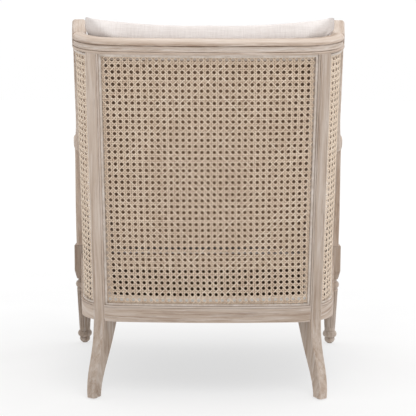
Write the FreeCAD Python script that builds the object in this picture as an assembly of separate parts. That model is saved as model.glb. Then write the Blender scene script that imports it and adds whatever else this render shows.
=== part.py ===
import FreeCAD, Part
import math, os

os.makedirs("parts", exist_ok=True)
V = FreeCAD.Vector

# ---------------------------------------------------------------- dimensions
# Millimetres. +Z up, the chair faces -Y, +X is its own left-hand side.
RAKE = 11.6            # lean of the back, degrees from vertical
BACK_Y = 225.0         # outer face of the back at the seat rail, on the centre line
RAIL_TOP = 243.0       # top of the back seat rail
RAIL_BOT = 199.0       # underside of the seat rails
R_BACK = 2700.0        # plan radius of the back
R_CORNER = 117.0       # plan radius of the rear corners
FLARE = 6.5            # splay of the straight sides, degrees
SIDE_X, SIDE_U = 337.0, 114.0   # a point the outer side line runs through
PANEL_S = 650.5        # height of the back panel along the rake
CREST_S = 687.5        # top of the crest rail along the rake
POST_A, POST_B = 23.2, 40.5     # rear post on the corner arc, degrees
POST_T = 38.0          # rear post, depth
BAND = 38.0            # depth of the wing rail and of the arm
WING_T = 36.0          # thickness of crest and wing rail
RAIL_T = 26.0          # thickness of the seat rails
CANE_T0, CANE_T1 = 8.0, 10.0    # woven panel, outer and inner face
STRIP_T = 24.0         # inner face of the rebate strips
STRIP_W = 14.0         # width of the rebate strips
SPLINE_T0 = 4.0        # outer face of the cane spline
SPLINE_W = 5.0         # width of the cane spline
FRONT_X, FRONT_Y = 384.0, -380.0   # front leg axis
BLOCK = 54.0           # front leg block, side
BLOCK_Z0, BLOCK_Z1 = 206.0, 312.0
GLIDE = 3.0            # height of the floor glides
DECK_Y0, DECK_Z0 = 150.0, 230.0    # seat deck line, rear point
DECK_Y1, DECK_Z1 = -377.0, 268.0   # seat deck line, front point
SEAT_THICK = 150.0
SEAT_INSET = 50.0      # seat cushion, distance from the outer plan line
BACKC_INSET = 42.0     # back cushion, distance from the outer plan line
BACKC_FRONT = 186.0    # back cushion, front face
BACKC_TOP = 706.0      # back cushion, top along the rake
Y_SHIFT = 29.7286         # brings the middle of the depth to the origin

rho = math.radians(RAKE)
TILT = FreeCAD.Placement(V(0, BACK_Y, RAIL_TOP), FreeCAD.Rotation(V(1, 0, 0), -RAKE))

# ------------------------------------------------------------ plan of the tub
fl = math.radians(FLARE)
d_side = (math.sin(fl), math.cos(fl))
n_side = (-math.cos(fl), math.sin(fl))


def corner_centre():
    lo, hi = -200.0, 200.0
    f = lambda k: math.hypot(SIDE_X + k * d_side[0] + R_CORNER * n_side[0],
                             SIDE_U + k * d_side[1] + R_CORNER * n_side[1] - R_BACK) - (R_BACK - R_CORNER)
    for _ in range(80):
        mid = (lo + hi) / 2
        if f(lo) * f(mid) <= 0:
            hi = mid
        else:
            lo = mid
    return (SIDE_X + lo * d_side[0] + R_CORNER * n_side[0],
            SIDE_U + lo * d_side[1] + R_CORNER * n_side[1])


CX, CU = corner_centre()
PSI = math.degrees(math.atan2(CX, R_BACK - CU))
TH_END = 90.0 - FLARE


def pt(x, u, s=0.0):
    return V(x, -u, s)


def on_back(t, a):
    a = math.radians(a)
    r = R_BACK - t
    return pt(r * math.sin(a), R_BACK - r * math.cos(a))


def on_corner(t, a):
    a = math.radians(a)
    r = R_CORNER - t
    return pt(CX + r * math.sin(a), CU - r * math.cos(a))


def on_side(t, u):
    p = on_corner(t, TH_END)
    k = (u - (-p.y)) / d_side[1]
    return pt(p.x + k * d_side[0], u)


def line(a, b):
    return Part.LineSegment(a, b).toShape()


def arc(a, m, b):
    return Part.Arc(a, m, b).toShape()


def corner_arc(t, a, b):
    return arc(on_corner(t, a), on_corner(t, (a + b) / 2), on_corner(t, b))


def face(edges):
    return Part.Face(Part.Wire(Part.__sortEdges__(edges)))


def flip(p):
    return V(-p.x, p.y, p.z)


def up(f, s0, s1):
    g = f.copy()
    g.translate(V(0, 0, s0))
    g = g.extrude(V(0, 0, s1 - s0))
    g.Placement = TILT.multiply(g.Placement)
    return g


def sector(t0, t1, a, b, s0, s1):
    """Piece of the tub wall on the corner, between two radial planes."""
    return up(face([corner_arc(t0, a, b), line(on_corner(t0, b), on_corner(t1, b)),
                    corner_arc(t1, a, b), line(on_corner(t1, a), on_corner(t0, a))]), s0, s1)


def wall_side(t0, t1, a, u1, s0, s1):
    """Tub wall from a radial plane on the corner round and forward along the side."""
    return up(face([corner_arc(t0, a, TH_END), line(on_corner(t0, TH_END), on_side(t0, u1)),
                    line(on_side(t0, u1), on_side(t1, u1)),
                    line(on_side(t1, u1), on_corner(t1, TH_END)), corner_arc(t1, a, TH_END),
                    line(on_corner(t1, a), on_corner(t0, a))]), s0, s1)


def back_edges(t, a):
    r = on_corner(t, a)
    return [arc(on_corner(t, PSI), on_corner(t, (a + PSI) / 2), r),
            arc(flip(on_corner(t, PSI)), flip(on_corner(t, (a + PSI) / 2)), flip(r)),
            arc(flip(on_back(t, PSI)), on_back(t, 0), on_back(t, PSI))]


def wall_back(t0, t1, a, s0, s1):
    """Tub wall across the back, between the radial planes at angle a."""
    return up(face(back_edges(t0, a) + back_edges(t1, a) +
                   [line(on_corner(t0, a), on_corner(t1, a)),
                    line(flip(on_corner(t0, a)), flip(on_corner(t1, a)))]), s0, s1)


def inside(t, u1):
    """Plan of the room inside the tub, closed by a straight front at u1."""
    e = back_edges(t, TH_END)
    e += [line(on_corner(t, TH_END), on_side(t, u1)),
          line(flip(on_corner(t, TH_END)), flip(on_side(t, u1))),
          line(on_side(t, u1), flip(on_side(t, u1)))]
    return face(e)


def mirror(s):
    return s.mirror(V(0, 0, 0), V(1, 0, 0))


def world(x, u, s):
    return V(x, BACK_Y - u * math.cos(rho) + s * math.sin(rho),
             RAIL_TOP + u * math.sin(rho) + s * math.cos(rho))


# ------------------------------------------------- side elevation of the frame
def prism(edges, x0=-500.0, x1=500.0):
    f = face(edges)
    f.translate(V(x0, 0, 0))
    return f.extrude(V(x1 - x0, 0, 0))


def yz(p):
    return V(0, p[0], p[1])


def poly(pts):
    return [line(yz(pts[i]), yz(pts[(i + 1) % len(pts)])) for i in range(len(pts))]


def nrm(al):
    return (-math.sin(al), -math.cos(al))


class Path:
    """Lines and arcs with a running heading; offsets are exact."""

    def __init__(self, p, heading):
        self.p, self.al, self.prims = p, math.radians(heading), []

    def ahead(self, n):
        q = (self.p[0] - n * math.cos(self.al), self.p[1] + n * math.sin(self.al))
        self.prims.append(("L", self.p, q, self.al))
        self.p = q
        return self

    def turn(self, r, deg):
        """deg < 0 turns down, deg > 0 turns up."""
        sgn = 1.0 if deg < 0 else -1.0
        n = nrm(self.al)
        c = (self.p[0] + sgn * r * n[0], self.p[1] + sgn * r * n[1])
        a2 = self.al + math.radians(deg)
        self.prims.append(("A", c, sgn * r, self.al, a2))
        n2 = nrm(a2)
        self.p = (c[0] - sgn * r * n2[0], c[1] - sgn * r * n2[1])
        self.al = a2
        return self

    def edges(self, w, i0, i1):
        out, ends = [], []
        for pr in self.prims[i0:i1]:
            if pr[0] == "L":
                n = nrm(pr[3])
                a = (pr[1][0] + w * n[0], pr[1][1] + w * n[1])
                b = (pr[2][0] + w * n[0], pr[2][1] + w * n[1])
                out.append(line(yz(a), yz(b)))
            else:
                c, r = pr[1], pr[2]
                q = []
                for al in (pr[3], (pr[3] + pr[4]) / 2, pr[4]):
                    n = nrm(al)
                    q.append((c[0] - (r - w) * n[0], c[1] - (r - w) * n[1]))
                a, b = q[0], q[2]
                out.append(arc(yz(q[0]), yz(q[1]), yz(q[2])))
            ends += [a, b]
        return out, ends[0], ends[-1]


w0 = world(0, -80.0, CREST_S - 4.0)
side = Path((w0.y, w0.z), RAKE + 1.2)
side.ahead(365.0)          # top of the wing, rising forward
side.turn(60.0, -96.2)     # rounded nose
side.ahead(109.0)          # front of the wing
side.turn(185.0, 84.9)     # sweep into the arm
side.ahead(139.0)          # arm
N_WING, N_ALL = 3, 5


def band(i0, i1, wa, wb, cap=False):
    ea, a0, a1 = side.edges(wa, i0, i1)
    eb, b0, b1 = side.edges(wb, i0, i1)
    e = ea + eb + [line(yz(a0), yz(b0))]
    if cap:
        m = ((a1[0] + b1[0]) / 2 - (wb - wa) / 2, (a1[1] + b1[1]) / 2)
        e.append(arc(yz(a1), yz(m), yz(b1)))
    else:
        e.append(line(yz(a1), yz(b1)))
    return e


def spline_edge(pts):
    c = Part.BSplineCurve()
    c.interpolate([yz(p) for p in pts])
    return c.toShape()


SUP_REAR = [(-350, 270), (-351, 312), (-345, 350), (-327, 420), (-312, 490), (-304, 560), (-296, 620), (-286, 700)]
SUP_FRONT = [(-402, 270), (-402, 312), (-396, 345), (-374, 420), (-354, 490), (-344, 560), (-338, 620), (-334, 700)]
SIDE_RAIL_FRONT = FRONT_Y + BLOCK / 2
RAIL_Y0, RAIL_FRONT_TOP = 170.0, 288.0


def rail_top(y):
    return RAIL_TOP + max(0.0, (RAIL_Y0 - y)) / (RAIL_Y0 - SIDE_RAIL_FRONT) * (RAIL_FRONT_TOP - RAIL_TOP)


def opening(k):
    """The side opening, drawn in by k, as a prism across the chair."""
    e, a, b = side.edges(BAND + k, 0, N_ALL)
    e += [line(yz(b), yz((-520, b[1]))), line(yz((-520, b[1])), yz((-520, 0))),
          line(yz((-520, 0)), yz((480, 0))), line(yz((480, 0)), yz((480, a[1]))),
          line(yz((480, a[1])), yz(a))]
    p1 = prism(e, 100, 500)
    r = [(y + k, z) for y, z in SUP_REAR]
    p2 = prism([spline_edge(r), line(yz(r[-1]), yz((520, r[-1][1]))),
                line(yz((520, r[-1][1])), yz((520, 1100))), line(yz((520, 1100)), yz((700, 1100))),
                line(yz((700, 1100)), yz((700, 150))), line(yz((700, 150)), yz((r[0][0], 150))),
                line(yz((r[0][0], 150)), yz(r[0]))], 100, 500)
    p2 = p2.fuse(prism(poly([(r[-1][0], r[-1][1]), (530, r[-1][1]), (530, 1100), (r[-1][0], 1100)]), 100, 500))
    p3 = prism(poly([(600, RAIL_TOP + k), (RAIL_Y0, RAIL_TOP + k), (-500, rail_top(-500) + k), (-500, 1100), (600, 1100)]), 100, 500)
    return p1.common(p2).common(p3)


def solids(s):
    out = s.Solids
    return out[0] if len(out) == 1 else Part.makeCompound(out)


def tidy(s):
    try:
        r = s.removeSplitter()
        return r if r.isValid() and r.Solids else s
    except Exception:
        return s


def soften(shape, radius, pick):
    """Round the picked edges; a radius that will not go is halved."""
    r = radius
    while r > 0.8:
        es = [e for e in shape.Edges if pick(e)]
        if not es:
            return shape
        try:
            g = shape.makeFillet(r, es)
            if g.isValid() and g.Solids and g.Volume > 0.6 * shape.Volume and g.Volume < shape.Volume * 1.001:
                return solids(g)
        except Exception:
            pass
        r *= 0.6
    return shape


def half_space_below(z):
    return Part.makeBox(1400, 1600, 1000, V(-700, -800, z - 1000))


def slab(z0, z1):
    return Part.makeBox(1400, 1600, z1 - z0, V(-700, -800, z0))


OUT = {}
EPS = 0.02

# ------------------------------------------------------------------ rear posts
# Each rear post runs on down as a sabre leg, set on the diagonal.
th_m = math.radians((POST_A + POST_B) / 2)
e_r = V(math.sin(th_m), math.cos(th_m), 0)
e_t = V(math.cos(th_m), -math.sin(th_m), 0)

LEG = [  # height, outer face x, outer face y, width, depth
    (226.0, 283.7, 193.1, 35.2, 60.0),
    (199.0, 283.7, 187.8, 35.0, 60.0),
    (166.0, 285.8, 184.6, 33.0, 53.5),
    (134.0, 289.0, 185.0, 31.0, 47.8),
    (93.0, 295.3, 192.5, 29.0, 42.4),
    (59.0, 300.8, 204.0, 27.0, 38.4),
    (34.0, 303.0, 215.5, 25.4, 35.0),
    (GLIDE, 302.0, 232.0, 22.6, 32.0),
]


def leg_section(z, x, y, w, dep):
    o = V(x, y, z)
    c = 2.0   # eased corners
    q = [o - e_t * (w / 2 - c), o + e_t * (w / 2 - c), o + e_t * (w / 2) - e_r * c, o + e_t * (w / 2) - e_r * (dep - c),
         o + e_t * (w / 2 - c) - e_r * dep, o - e_t * (w / 2 - c) - e_r * dep, o - e_t * (w / 2) - e_r * (dep - c), o - e_t * (w / 2) - e_r * c]
    return Part.makePolygon(q + [q[0]])


leg = Part.makeLoft([leg_section(*r) for r in LEG], True, False)
post = sector(0, POST_T, POST_A, POST_B, -120.0, PANEL_S)
post = post.cut(half_space_below(RAIL_BOT + 6.0))
bead = sector(-1.0, 1.3, POST_A + 1.55, POST_A + 2.25, -70.0, PANEL_S + 1)
post = post.cut(bead)
rear = tidy(post.fuse(leg))
rear = solids(rear)

# -------------------------------------------------------------- crest and wing
def prof_edges(y_of):
    k = (CREST_S - PANEL_S) / 38.0
    P = lambda t, s: V(y_of(t)[0], y_of(t)[1], PANEL_S + k * s)
    return [line(P(36, 0), P(0.4, 0)), line(P(0.4, 0), P(0.4, 1.5)),
            arc(P(0.4, 1.5), P(-0.8, 4.0), P(0.4, 6.5)),
            line(P(0.4, 6.5), P(2.2, 7.3)), line(P(2.2, 7.3), P(2.2, 8.3)),
            line(P(2.2, 8.3), P(0.9, 8.8)), line(P(0.9, 8.8), P(0.9, 10.0)),
            arc(P(0.9, 10.0), P(3.2, 15.0), P(0.6, 20.0)),
            line(P(0.6, 20.0), P(0.2, 21.2)), line(P(0.2, 21.2), P(2.4, 21.8)),
            line(P(2.4, 21.8), P(2.4, 23.0)),
            line(P(2.4, 23.0), P(0.3, 24.0)),
            arc(P(0.3, 24.0), P(4.2, 34.0), P(14.5, 38.0)),
            line(P(14.5, 38.0), P(26.0, 38.0)),
            arc(P(26.0, 38.0), P(33.0, 35.0), P(36.0, 28.0)),
            line(P(36.0, 28.0), P(36, 0))]


def swept(centre, radius, a0, a1):
    f = face(prof_edges(lambda t: (centre[0], -centre[1] + radius - t)))
    axis_p = V(centre[0], -centre[1], 0)
    f.rotate(axis_p, V(0, 0, 1), -a0)
    s = f.revolve(axis_p, V(0, 0, 1), -(a1 - a0))
    s.Placement = TILT.multiply(s.Placement)
    return s


cr_mid = swept((0, R_BACK), R_BACK, -PSI, PSI)
cr_cor = swept((CX, CU), R_CORNER, PSI, TH_END)
crest = tidy(cr_mid.fuse([cr_cor, mirror(cr_cor)]))
OUT["crest_rail"] = solids(crest)


def straight(t0, t1, u0, u1, s0, s1):
    return up(face([line(on_side(t0, u0), on_side(t0, u1)), line(on_side(t0, u1), on_side(t1, u1)),
                    line(on_side(t1, u1), on_side(t1, u0)), line(on_side(t1, u0), on_side(t0, u0))]), s0, s1)


t2o, t2i = on_corner(0.0, TH_END), on_corner(WING_T, TH_END)
wing_plan = face([line(t2o, on_side(0.0, 470)), line(on_side(0.0, 470), on_side(WING_T, 470)),
                  line(on_side(WING_T, 470), t2i), line(t2i, t2o)])
wing = up(wing_plan, 380, 760).common(prism(band(0, N_WING, 0, BAND), 100, 500))
wing = solids(tidy(wing))


def long_edge(e, n=60.0):
    return e.Length > n


def on_band(e, w, tol=1.2):
    """True for an edge that follows the outline of the side at offset w."""
    m = [e.valueAt(e.FirstParameter + (e.LastParameter - e.FirstParameter) * k) for k in (0.15, 0.5, 0.85)]
    return all(abs(offset_of(p) - w) < tol for p in m)


def offset_of(p):
    best = None
    for pr in side.prims:
        if pr[0] == "L":
            (ay, az), (by, bz) = pr[1], pr[2]
            L = math.hypot(by - ay, bz - az)
            k = ((p.y - ay) * (by - ay) + (p.z - az) * (bz - az)) / (L * L)
            if -0.02 <= k <= 1.02:
                n = nrm(pr[3])
                v = (p.y - ay) * n[0] + (p.z - az) * n[1]
                if best is None or abs(v) < abs(best):
                    best = v
        else:
            c, r = pr[1], pr[2]
            dy, dz = p.y - c[0], p.z - c[1]
            rr = math.hypot(dy, dz)
            al0, al1 = pr[3], pr[4]
            n0 = nrm((al0 + al1) / 2)
            mid = (-n0[0], -n0[1]) if r > 0 else n0
            ang = math.acos(max(-1, min(1, (dy * mid[0] + dz * mid[1]) / (rr + 1e-9))))
            if ang <= abs(al1 - al0) / 2 + 0.05:
                v = (r - rr) if r > 0 else (rr + r)
                if best is None or abs(v) < abs(best):
                    best = v
    return 1e6 if best is None else best


def across(e):
    a, b = e.valueAt(e.FirstParameter), e.valueAt(e.LastParameter)
    return abs(a.x - b.x) > 0.8 * (a - b).Length and e.Length < 80


wing = soften(wing, 9.0, lambda e: on_band(e, 0.0) and not across(e))
wing = soften(wing, 3.0, lambda e: on_band(e, BAND) and not across(e))

GROOVES = ((14.6, 15.8), (28.2, 29.4))   # offsets of the two grooves run along the outer face
GROOVE_D = 1.4


def grooved(shape, skin, i0, i1):
    """Cut the two moulding grooves, taken through the given outer skin."""
    for a, b in GROOVES:
        g = shape.cut(skin.common(prism(band(i0, i1, a, b), 100, 500)))
        if g.isValid() and len(g.Solids) == len(shape.Solids) and g.Volume > 0.97 * shape.Volume:
            shape = g
    return solids(shape)


wing_skin = face([line(on_corner(-3.0, TH_END), on_side(-3.0, 480)), line(on_side(-3.0, 480), on_side(GROOVE_D, 480)),
                  line(on_side(GROOVE_D, 480), on_corner(GROOVE_D, TH_END)), line(on_corner(GROOVE_D, TH_END), on_corner(-3.0, TH_END))])
wing = grooved(wing, up(wing_skin, 300, 760), 0, N_WING)

# ------------------------------------------------------------------------ arms
ARM_PLAN = [(280, 0.0, 36.0), (310, 0.0, 36.0), (340, 0.2, 36.0), (380, 2.6, 36.4), (430, 6.2, 39.5), (480, 9.0, 44.0), (530, 10.4, 47.0), (600, 10.8, 48.0), (710, 10.6, 48.0)]


def plan_curve(pts):
    c = Part.BSplineCurve()
    c.interpolate(pts)
    return c.toShape()


po = [on_side(-a, u) for u, a, b in ARM_PLAN]
pi = [on_side(b, u) for u, a, b in ARM_PLAN]
arm_plan = face([plan_curve(po), plan_curve(pi), line(po[0], pi[0]), line(po[-1], pi[-1])])
arm = up(arm_plan, 150, 760).common(prism(band(N_WING, N_ALL, 0, BAND, True), 100, 500))
arm = solids(tidy(arm))
arm_soft = soften(arm, 13.0, lambda e: on_band(e, 0.0) and not across(e))
arm_soft = soften(arm_soft, 6.0, lambda e: on_band(e, BAND) and not across(e))
ko = [on_side(-a - 3.0, u) for u, a, b in ARM_PLAN]
ki = [on_side(-a + GROOVE_D, u) for u, a, b in ARM_PLAN]
arm_skin = face([plan_curve(ko), plan_curve(ki), line(ko[0], ki[0]), line(ko[-1], ki[-1])])
arm_soft = grooved(arm_soft, up(arm_skin, 100, 760), N_WING, N_ALL)

# ---------------------------------------------------------------- arm supports
sup = prism([spline_edge(SUP_REAR), spline_edge(SUP_FRONT), line(yz(SUP_REAR[0]), yz(SUP_FRONT[0])),
             line(yz(SUP_REAR[-1]), yz(SUP_FRONT[-1]))], 300, 460)


def xz_curve(pts, y):
    c = Part.BSplineCurve()
    c.interpolate([V(x, y, z) for x, z in pts])
    return c.toShape()


SUP_OUT = [(404, 260), (404.4, 312), (404.4, 345), (403.6, 400), (402.0, 460), (400.6, 530), (400.0, 590), (400.4, 630), (401, 690)]
SUP_IN = [(364, 260), (364, 312), (365, 340), (367.5, 420), (366.0, 500), (361, 570), (353, 620), (345, 690)]
fo, fi = xz_curve(SUP_OUT, -520), xz_curve(SUP_IN, -520)
ff = face([fo, fi, line(V(404, -520, 260), V(364, -520, 260)), line(V(401, -520, 690), V(345, -520, 690))])
sup = sup.common(ff.extrude(V(0, 400, 0)))
sup = sup.common(slab(BLOCK_Z1, 900)).cut(arm)
sup = sorted(sup.Solids, key=lambda s: s.BoundBox.ZMin)[0]
sup = soften(sup, 6.0, lambda e: e.Length > 150)

# ------------------------------------------------------------------ front legs
def lathe(pts, x, y):
    """Turned shape; a point with a third value is the far end of an arc through it."""
    e, cur = [], V(pts[0][0], 0, pts[0][1])
    first = cur
    i = 1
    while i < len(pts):
        p = pts[i]
        if len(p) == 3:
            q = pts[i + 1]
            nxt = V(q[0], 0, q[1])
            e.append(arc(cur, V(p[0], 0, p[1]), nxt))
            i += 2
        else:
            nxt = V(p[0], 0, p[1])
            e.append(line(cur, nxt))
            i += 1
        cur = nxt
    e.append(line(cur, first))
    s = face(e).revolve(V(0, 0, 0), V(0, 0, 1), 360)
    s.translate(V(x, y, 0))
    return s


SHAFT_Z0, SHAFT_Z1, SHAFT_R0, SHAFT_R1 = 43.0, 173.0, 16.4, 23.2
turned = lathe([(0, GLIDE), (10.5, GLIDE), (15.8, 11.0, 0), (14.6, 18.5), (14.6, 20.0), (18.0, 21.0),
                (21.6, 29.5, 0), (18.0, 38.0), (16.4, 39.0), (16.4, 41.0), (SHAFT_R0, SHAFT_Z0),
                (SHAFT_R1, SHAFT_Z1), (21.5, 174.5), (21.5, 177.0), (23.5, 178.0), (26.4, 186.5, 0), (23.5, 195.0),
                (20.0, 196.5), (19.0, 201.5, 0), (21.0, BLOCK_Z0 + 1.0), (0, BLOCK_Z0 + 1.0)], FRONT_X, FRONT_Y)
N_FLUTE = 14
for i in range(N_FLUTE):
    a = 2 * math.pi * (i + 0.5) / N_FLUTE
    k0, k1 = 52.0, 164.0
    r_at = lambda z: SHAFT_R0 + (SHAFT_R1 - SHAFT_R0) * (z - SHAFT_Z0) / (SHAFT_Z1 - SHAFT_Z0)
    off = 0.9
    p0 = V(FRONT_X + (r_at(k0) + off) * math.cos(a), FRONT_Y + (r_at(k0) + off) * math.sin(a), k0)
    p1 = V(FRONT_X + (r_at(k1) + off) * math.cos(a), FRONT_Y + (r_at(k1) + off) * math.sin(a), k1)
    r0, r1 = 2.5, 3.6
    flute = Part.makeCone(r0, r1, (p1 - p0).Length, p0, p1 - p0)
    flute = flute.fuse([Part.makeSphere(r0, p0), Part.makeSphere(r1, p1)])
    turned = turned.cut(flute)


def square(h, z):
    return Part.makePolygon([V(FRONT_X - h, FRONT_Y - h, z), V(FRONT_X + h, FRONT_Y - h, z),
                             V(FRONT_X + h, FRONT_Y + h, z), V(FRONT_X - h, FRONT_Y + h, z), V(FRONT_X - h, FRONT_Y - h, z)])


h = BLOCK / 2
base = Part.makeLoft([square(20.0, BLOCK_Z0), square(22.5, BLOCK_Z0 + 9), square(h, BLOCK_Z0 + 28)], True, True)
block = Part.makeBox(BLOCK, BLOCK, BLOCK_Z1 - BLOCK_Z0 - 28, V(FRONT_X - h, FRONT_Y - h, BLOCK_Z0 + 28))
block = block.makeFillet(2.0, [e for e in block.Edges if e.BoundBox.ZMax > BLOCK_Z0 + 29])
# sunk panel with a turned boss on the front face of the block
pz = (BLOCK_Z0 + 28 + BLOCK_Z1) / 2
panel = Part.makeBox(BLOCK - 16, 2.5, 60.0, V(FRONT_X - h + 8, FRONT_Y - h - 0.5, pz - 30))
boss = Part.makeCylinder(15.0, 3.0, V(FRONT_X, FRONT_Y - h + 0.5, pz), V(0, 1, 0))
ringc = Part.makeTorus(10.5, 1.6, V(FRONT_X, FRONT_Y - h + 0.6, pz), V(0, 1, 0))
block = block.cut(panel.cut(boss)).cut(ringc)
front = tidy(turned.fuse([base, block]))
front = solids(front)

# ------------------------------------------------------------------ seat rails
back_rail = wall_back(0, RAIL_T, POST_A, -160, 40).common(slab(RAIL_BOT, RAIL_TOP))
back_rail = back_rail.cut(leg).cut(mirror(leg))
groove = wall_back(-1.0, 1.2, POST_A + 1, -160, 60).common(slab(RAIL_TOP - 5.2, RAIL_TOP - 4.0))
back_rail = back_rail.cut(groove)
OUT["back_seat_rail"] = solids(tidy(back_rail))

rail_side = prism(poly([(400, RAIL_BOT), (400, RAIL_TOP), (RAIL_Y0, RAIL_TOP), (SIDE_RAIL_FRONT, RAIL_FRONT_TOP),
                        (SIDE_RAIL_FRONT, RAIL_BOT)]), 100, 500)
side_rail = wall_side(0, RAIL_T, POST_B, 660, -160, 140).common(rail_side).cut(leg)
gr = prism(poly([(400, RAIL_TOP - 5.2), (400, RAIL_TOP - 4.0), (RAIL_Y0, RAIL_TOP - 4.0), (SIDE_RAIL_FRONT - 5, RAIL_FRONT_TOP - 3.6),
                 (SIDE_RAIL_FRONT - 5, RAIL_FRONT_TOP - 4.8), (RAIL_Y0, RAIL_TOP - 5.2)]), 100, 500)
side_rail = side_rail.cut(wall_side(-1.0, 1.2, POST_B - 1, 680, -160, 160).common(gr))
side_rail = solids(tidy(side_rail))

FR_X = FRONT_X - BLOCK / 2
FR_Z0, FR_Z1 = 206.0, 272.0
FR_BOW = 16.0
fy0, fy1 = FRONT_Y - 24.0, FRONT_Y + 4.0
front_plan = [Part.Arc(V(-FR_X, fy0, FR_Z0), V(0, fy0 - FR_BOW, FR_Z0), V(FR_X, fy0, FR_Z0)).toShape(),
              line(V(FR_X, fy0, FR_Z0), V(FR_X, fy1, FR_Z0)), line(V(FR_X, fy1, FR_Z0), V(-FR_X, fy1, FR_Z0)),
              line(V(-FR_X, fy1, FR_Z0), V(-FR_X, fy0, FR_Z0))]
front_rail = face(front_plan).extrude(V(0, 0, FR_Z1 - FR_Z0))
front_rail = soften(front_rail, 4.0, lambda e: e.Length > 600 and e.BoundBox.YMin < fy0 - 10)
for zg in (FR_Z0 + 11.0, FR_Z1 - 12.2):
    o1, o2 = V(-FR_X - 1, fy0 - 1.5, zg), V(FR_X + 1, fy0 - 1.5, zg)
    g = [Part.Arc(o1, V(0, fy0 - 1.5 - FR_BOW, zg), o2).toShape()]
    i1, i2 = V(-FR_X - 1, fy0 + 1.2, zg), V(FR_X + 1, fy0 + 1.2, zg)
    g += [Part.Arc(i1, V(0, fy0 + 1.2 - FR_BOW, zg), i2).toShape(), line(o1, i1), line(o2, i2)]
    front_rail = front_rail.cut(face(g).extrude(V(0, 0, 1.2)))
OUT["front_seat_rail"] = solids(front_rail)

# -------------------------------------------- woven panels, strips and splines
back_open = lambda t0, t1, da, k: wall_back(t0, t1, POST_A - da, -120, PANEL_S - k).common(slab(RAIL_TOP + k, 1200))
mm = lambda n: math.degrees(n / (R_CORNER - 9.0))
OUT["back_cane_panel"] = solids(back_open(CANE_T0, CANE_T1, mm(0.6), 0.6))
sp = back_open(SPLINE_T0, CANE_T0, mm(0.6), 0.6).cut(back_open(SPLINE_T0 - 1, CANE_T0 + 1, mm(0.6 + SPLINE_W), 0.6 + SPLINE_W))
OUT["back_cane_spline"] = solids(sp)
st = back_open(CANE_T1, STRIP_T, 0, 0).cut(back_open(CANE_T1 - 1, STRIP_T + 1, mm(STRIP_W), STRIP_W))
OUT["back_rebate_strip"] = solids(st)

o_0, o_06, o_sp, o_st = opening(0.0), opening(0.6), opening(0.6 + SPLINE_W), opening(STRIP_W)


# the crest covers the rear corner, so the panel stops under it too
def under_crest(k):
    return up(Part.Face(Part.makePolygon([V(0, 120, 0), V(600, 120, 0), V(600, -760, 0), V(0, -760, 0), V(0, 120, 0)])), -260, PANEL_S - k)


def side_open(t0, t1, da, op):
    return wall_side(t0, t1, POST_B + da, 690, -160, 760).common(op)


def side_piece(t0, t1, da, op, k):
    # below the crest on the corner, inside the band further forward
    s = side_open(t0, t1, da, op)
    lim = under_crest(k)
    return s.common(lim)


side_cane = solids(side_piece(CANE_T0, CANE_T1, mm(0.6), o_06, 0.6))
s_spl = solids(side_piece(SPLINE_T0, CANE_T0, mm(0.6), o_06, 0.6).cut(side_piece(SPLINE_T0 - 1, CANE_T0 + 1, mm(0.6 + SPLINE_W), o_sp, 0.6 + SPLINE_W)))
s_st = solids(side_piece(CANE_T1, STRIP_T, 0, o_0, 0).cut(side_piece(CANE_T1 - 1, STRIP_T + 1, mm(STRIP_W), o_st, STRIP_W)))

# ------------------------------------------------------------- seat deck parts
dk = math.atan2(DECK_Z1 - DECK_Z0, DECK_Y0 - DECK_Y1)
deck_dir = V(0, -math.cos(dk), math.sin(dk))      # forward along the deck
deck_up = V(0, math.sin(dk), math.cos(dk))


def deck_z(y):
    return DECK_Z0 + (DECK_Y0 - y) * math.tan(dk)


def deck_slab(a, b):
    """Everything between two planes parallel to the deck line, a and b above it."""
    c = math.cos(dk)
    return prism(poly([(500, deck_z(500) + a / c), (-600, deck_z(-600) + a / c), (-600, deck_z(-600) + b / c), (500, deck_z(500) + b / c)]))


CL_T = 44.0
side_cleat = wall_side(RAIL_T, CL_T, 62.0, 690, -200, 300).common(
    prism(poly([(132, deck_z(132) - 22), (SIDE_RAIL_FRONT + 8, deck_z(SIDE_RAIL_FRONT + 8) - 22), (SIDE_RAIL_FRONT + 8, deck_z(SIDE_RAIL_FRONT + 8)), (132, deck_z(132))]), 100, 500))
side_cleat = side_cleat.cut(rear)
side_cleat = sorted(side_cleat.Solids, key=lambda s: -s.Volume)[0]
rear_cleat = wall_back(RAIL_T, CL_T, 14.0, -200, 200).common(prism(poly([(400, RAIL_BOT + 4), (400, deck_z(400)), (0, deck_z(0)), (0, RAIL_BOT + 4)])))
rear_cleat = rear_cleat.cut(leg).cut(mirror(leg))
OUT["rear_deck_cleat"] = sorted(rear_cleat.Solids, key=lambda q: -q.Volume)[0]
front_cleat = Part.makeBox(2 * (FR_X - 22), 18.0, 22.0, V(-(FR_X - 22), fy1, 0))
front_cleat.translate(V(0, 0, deck_z(fy1) - 23.5))
front_cleat = front_cleat.common(prism(poly([(-200, 0), (-600, 0), (-600, deck_z(-600)), (-200, deck_z(-200))])))
OUT["front_deck_cleat"] = solids(front_cleat)

inner_deck = up(inside(RAIL_T + 1.0, 660), -300, 300)
back_limit = prism(poly([(-600, 0), (196, 0), (196, 600), (-600, 600)]))
front_limit = Part.makeBox(1000, 1400, 800, V(-500, fy1 + 0.6, 0))

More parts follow.
